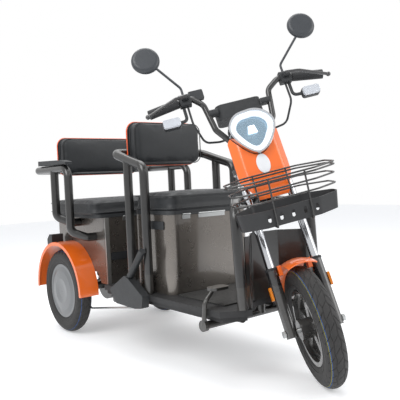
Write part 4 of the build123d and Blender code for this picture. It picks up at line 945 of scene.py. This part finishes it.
@dataclass
class Studio:
    """A pale floor, three soft lamps, a plain world and the photograph's camera."""

    seat: tuple = (1.9066, -1.4605, 0.7072)
    yaw: float = 2.468
    pitch: float = -0.036
    roll: float = -0.045
    lens: float = 50.52
    floor_glow: float = 0.3

    def camera(self) -> None:
        """Looks along d = (cos yaw cos pitch, sin yaw cos pitch, sin pitch), rolled about d."""
        level = math.cos(self.pitch)
        d = np.array([math.cos(self.yaw) * level, math.sin(self.yaw) * level, math.sin(self.pitch)])
        right = np.array([math.sin(self.yaw), -math.cos(self.yaw), 0.0])
        up = np.cross(right, d)
        tilted = math.cos(self.roll) * right + math.sin(self.roll) * up
        risen = -math.sin(self.roll) * right + math.cos(self.roll) * up
        data = bpy.data.cameras.new("camera")
        data.lens, data.sensor_width = self.lens, 36.0
        seen = bpy.data.objects.new("camera", data)
        seen.matrix_world = Place(np.array(self.seat), tilted, risen, -d).matrix()
        bpy.context.scene.collection.objects.link(seen)
        bpy.context.scene.camera = seen

    def floor(self) -> None:
        """A wide floor whose pale colour fades to white away from the object."""
        t = np.linspace(-9, 9, 3)
        x, y = np.meshgrid(t, t, indexing="ij")
        floor = grid_object("floor", np.stack([x, y, np.zeros_like(x)], axis=-1))
        if floor.data.polygons[0].normal.z < 0:
            floor.data.flip_normals()
        s = Shade("pale_floor")
        s.set(
            Base_Color=s.mix(s.noise(3.0, 3.0), tint("fafafa"), tint("f6f6f6")),
            Roughness=s.spread(s.noise(9.0), 0.6, 0.7),
            Emission_Color=(1.0, 1.0, 1.0, 1.0),
            Emission_Strength=self.floor_glow,
        )
        floor.data.materials.append(s.material)

    def world(self) -> None:
        """Soft grey light on the object; plain white to the camera and in mirrors and glass."""
        world = bpy.data.worlds.new("studio")
        bpy.context.scene.world = world
        world.use_nodes = True
        tree = world.node_tree
        tree.nodes.clear()
        out = tree.nodes.new("ShaderNodeOutputWorld")
        mixed = tree.nodes.new("ShaderNodeMixShader")
        light, white = (tree.nodes.new("ShaderNodeBackground") for _ in range(2))
        rays = tree.nodes.new("ShaderNodeLightPath")
        seen = tree.nodes.new("ShaderNodeMath")
        seen.operation = "MAXIMUM"
        both = tree.nodes.new("ShaderNodeMath")
        both.operation = "MAXIMUM"
        light.inputs[0].default_value = (0.92, 0.95, 1.0, 1.0)
        light.inputs[1].default_value = 0.62
        white.inputs[0].default_value = (1.0, 1.0, 1.0, 1.0)
        white.inputs[1].default_value = 1.0
        tree.links.new(rays.outputs["Is Camera Ray"], seen.inputs[0])
        tree.links.new(rays.outputs["Is Glossy Ray"], seen.inputs[1])
        tree.links.new(seen.outputs[0], both.inputs[0])
        tree.links.new(rays.outputs["Is Transmission Ray"], both.inputs[1])
        tree.links.new(both.outputs[0], mixed.inputs[0])
        tree.links.new(light.outputs[0], mixed.inputs[1])
        tree.links.new(white.outputs[0], mixed.inputs[2])
        tree.links.new(mixed.outputs[0], out.inputs[0])

    def lamp(self, name: str, place: tuple, aim: tuple, size: float, power: float) -> None:
        """One square soft lamp aimed at a point."""
        data = bpy.data.lights.new(name, "AREA")
        data.size, data.energy = size, power
        made = bpy.data.objects.new(name, data)
        made.location = place
        made.rotation_mode = "QUATERNION"
        made.rotation_quaternion = (Vector(aim) - Vector(place)).to_track_quat("-Z", "Y")
        bpy.context.scene.collection.objects.link(made)

    def build(self) -> None:
        """Builds the whole studio with the Standard view."""
        bpy.context.scene.view_settings.view_transform = "Standard"
        self.floor()
        self.world()
        self.camera()
        self.lamp("key", (0.6, -2.6, 2.9), (0.0, 0.0, 0.5), 2.2, 70.0)
        self.lamp("fill", (3.0, 1.6, 2.2), (0.2, 0.0, 0.5), 2.4, 46.0)
        self.lamp("top", (-0.6, 0.4, 3.4), (-0.1, 0.0, 0.4), 2.6, 52.0)


# The pieces of this tricycle


@dataclass
class ShodWheel:
    """A tyre with the raised rings of its sidewalls."""

    tyre: Tyre

    def build(self) -> None:
        """Builds the carcass with its tread, then the rings."""
        self.tyre.build()
        self.tyre.mouldings()


@dataclass
class BoardEdge:
    """The thin orange line round a backrest board."""

    name: str
    face: Place
    width: float
    height: float
    corner: float = 0.042
    thick: float = 0.003

    def build(self) -> None:
        """Carries a round section of radius thick along the board's rounded outline."""
        rim = rounded(self.width, self.height, self.corner, 12)
        path = self.face.at(np.concatenate([rim, np.zeros((len(rim), 1))], axis=1))
        line = carried(self.name, path, ring_section(self.thick, 10), self.face.z, closed=True)
        dress(line, "chassis", "trim_orange")


@dataclass
class ForkSeal:
    """The rubber wiper where a stanchion enters its slider."""

    side: Side
    offset: float = 0.0358
    leg_y: float = 0.0809
    top: float = 0.2127
    tube: float = 0.015

    def build(self) -> None:
        """Turns a closed lip section, radius tube + 3.5 mm +- 3.5 mm, about the leg."""
        base = Place(STEER.at((self.offset, self.side.value * self.leg_y, self.top + 0.004)), STEER.x, STEER.y, STEER.z)
        t = np.linspace(0, math.tau, 17)
        lip = [(self.tube + 0.0035 + 0.0035 * math.cos(a), 0.005 * math.sin(a)) for a in t]
        seal = turned_solid("fork_seal_" + self.side.name.lower(), base, lip, 48)
        dress(seal, "steering_assembly", "grip_black")


@dataclass
class LampBlock:
    """The bright block of light diodes in the headlight's middle."""

    half_top: float = 0.011
    half_foot: float = 0.017
    half_high: float = 0.014

    def build(self) -> None:
        """A trapezoid puck in front of the reflector."""
        corners = np.array([(-self.half_foot, -self.half_high), (self.half_foot, -self.half_high),
                            (self.half_top, self.half_high), (-self.half_top, self.half_high)])
        nexts = np.roll(corners, -1, axis=0)
        share = np.linspace(0, 1, 8, endpoint=False)[:, None]
        outline = np.concatenate([a + (b - a) * share for a, b in zip(corners, nexts)])
        block = puck("headlight_diodes", LAMP_FACE, outline, edge_profile(0.006, 0.001))
        dress(block, "steering_assembly", "led_white")


@dataclass
class Badge:
    """The bare oval badge of the head panel."""

    place: tuple = (0.0885, 0.0, 0.578)
    half: tuple = (0.024, 0.037)

    def build(self) -> None:
        """An ellipse x = a cos t, y = b sin t, 4 mm thick."""
        base = Place(STEER.at(self.place), STEER.y, STEER.z, STEER.x)
        t = np.linspace(0, math.tau, 72, endpoint=False)
        outline = np.stack([self.half[0] * np.cos(t), self.half[1] * np.sin(t)], axis=1)
        badge = puck("head_badge", base, outline, edge_profile(0.004, 0.0015))
        dress(badge, "steering_assembly", "badge_white")


def upright(x: float, z: float) -> Place:
    """A face on the chassis that looks ahead: its x to the left, its y up."""
    return Place(np.array((x, 0.0, z)), CHASSIS.y, CHASSIS.z, CHASSIS.x)


def level(x: float, z: float) -> Place:
    """A face on the chassis that looks up."""
    return Place(np.array((x, 0.0, z)), CHASSIS.x, CHASSIS.y, CHASSIS.z)


def rear_hub(side: Side) -> Place:
    """The middle of a rear wheel."""
    return Place(np.array((REAR_AXLE_X, side.value * REAR_WHEEL_Y, REAR_RADIUS)), CHASSIS.x, CHASSIS.y, CHASSIS.z)


PIECES = (
    Pad("front_backrest_pad", "front_backrest", "chassis", upright(-0.170, 0.8756), 0.360, 0.1792, 0.038, 0.050),
    Pad("rear_backrest_pad", "rear_backrest", "chassis", upright(-0.7659, 0.8553), 0.4572, 0.1814, 0.038, 0.050),
    Pad(
        "front_cushion_pad", "front_cushion", "front_seat", level(0.01885, 0.5923),
        0.2663, 0.420, 0.034, 0.0656, cap=0.010,
    ),
    Pad(
        "rear_cushion_pad", "rear_cushion", "rear_seat", level(-0.5289, 0.5738),
        0.4586, 0.600, 0.034, 0.0572, cap=0.012,
    ),
    BoardEdge("front_board_line", upright(-0.1773, 0.8756), 0.368, 0.1872),
    BoardEdge("rear_board_line", upright(-0.7729, 0.8553), 0.4652, 0.1894),
    ShodWheel(Tyre("front_tread", "front_tyre", "front_wheel", FRONT_HUB, FRONT_RADIUS, FRONT_HALF, "front_rubber")),
    *(
        ShodWheel(Tyre(
            f"rear_{side.name.lower()}_tread", f"rear_tyre_{side.name.lower()}",
            f"rear_wheel_{side.name.lower()}_turning", rear_hub(side), REAR_RADIUS, REAR_HALF, "rear_rubber",
        ))
        for side in (Side.LEFT, Side.RIGHT)
    ),
    ForkSeal(Side.LEFT),
    ForkSeal(Side.RIGHT),
    LampBlock(),
    Badge(),
)


# The whole object


def main() -> None:
    """Builds every piece and the studio."""
    logging.basicConfig(level=logging.INFO, format="%(message)s")
    NodeFinishes().build()
    for piece in PIECES:
        piece.build()
    Studio().build()
    bpy.context.view_layer.update()


if __name__ == "__main__":
    main()
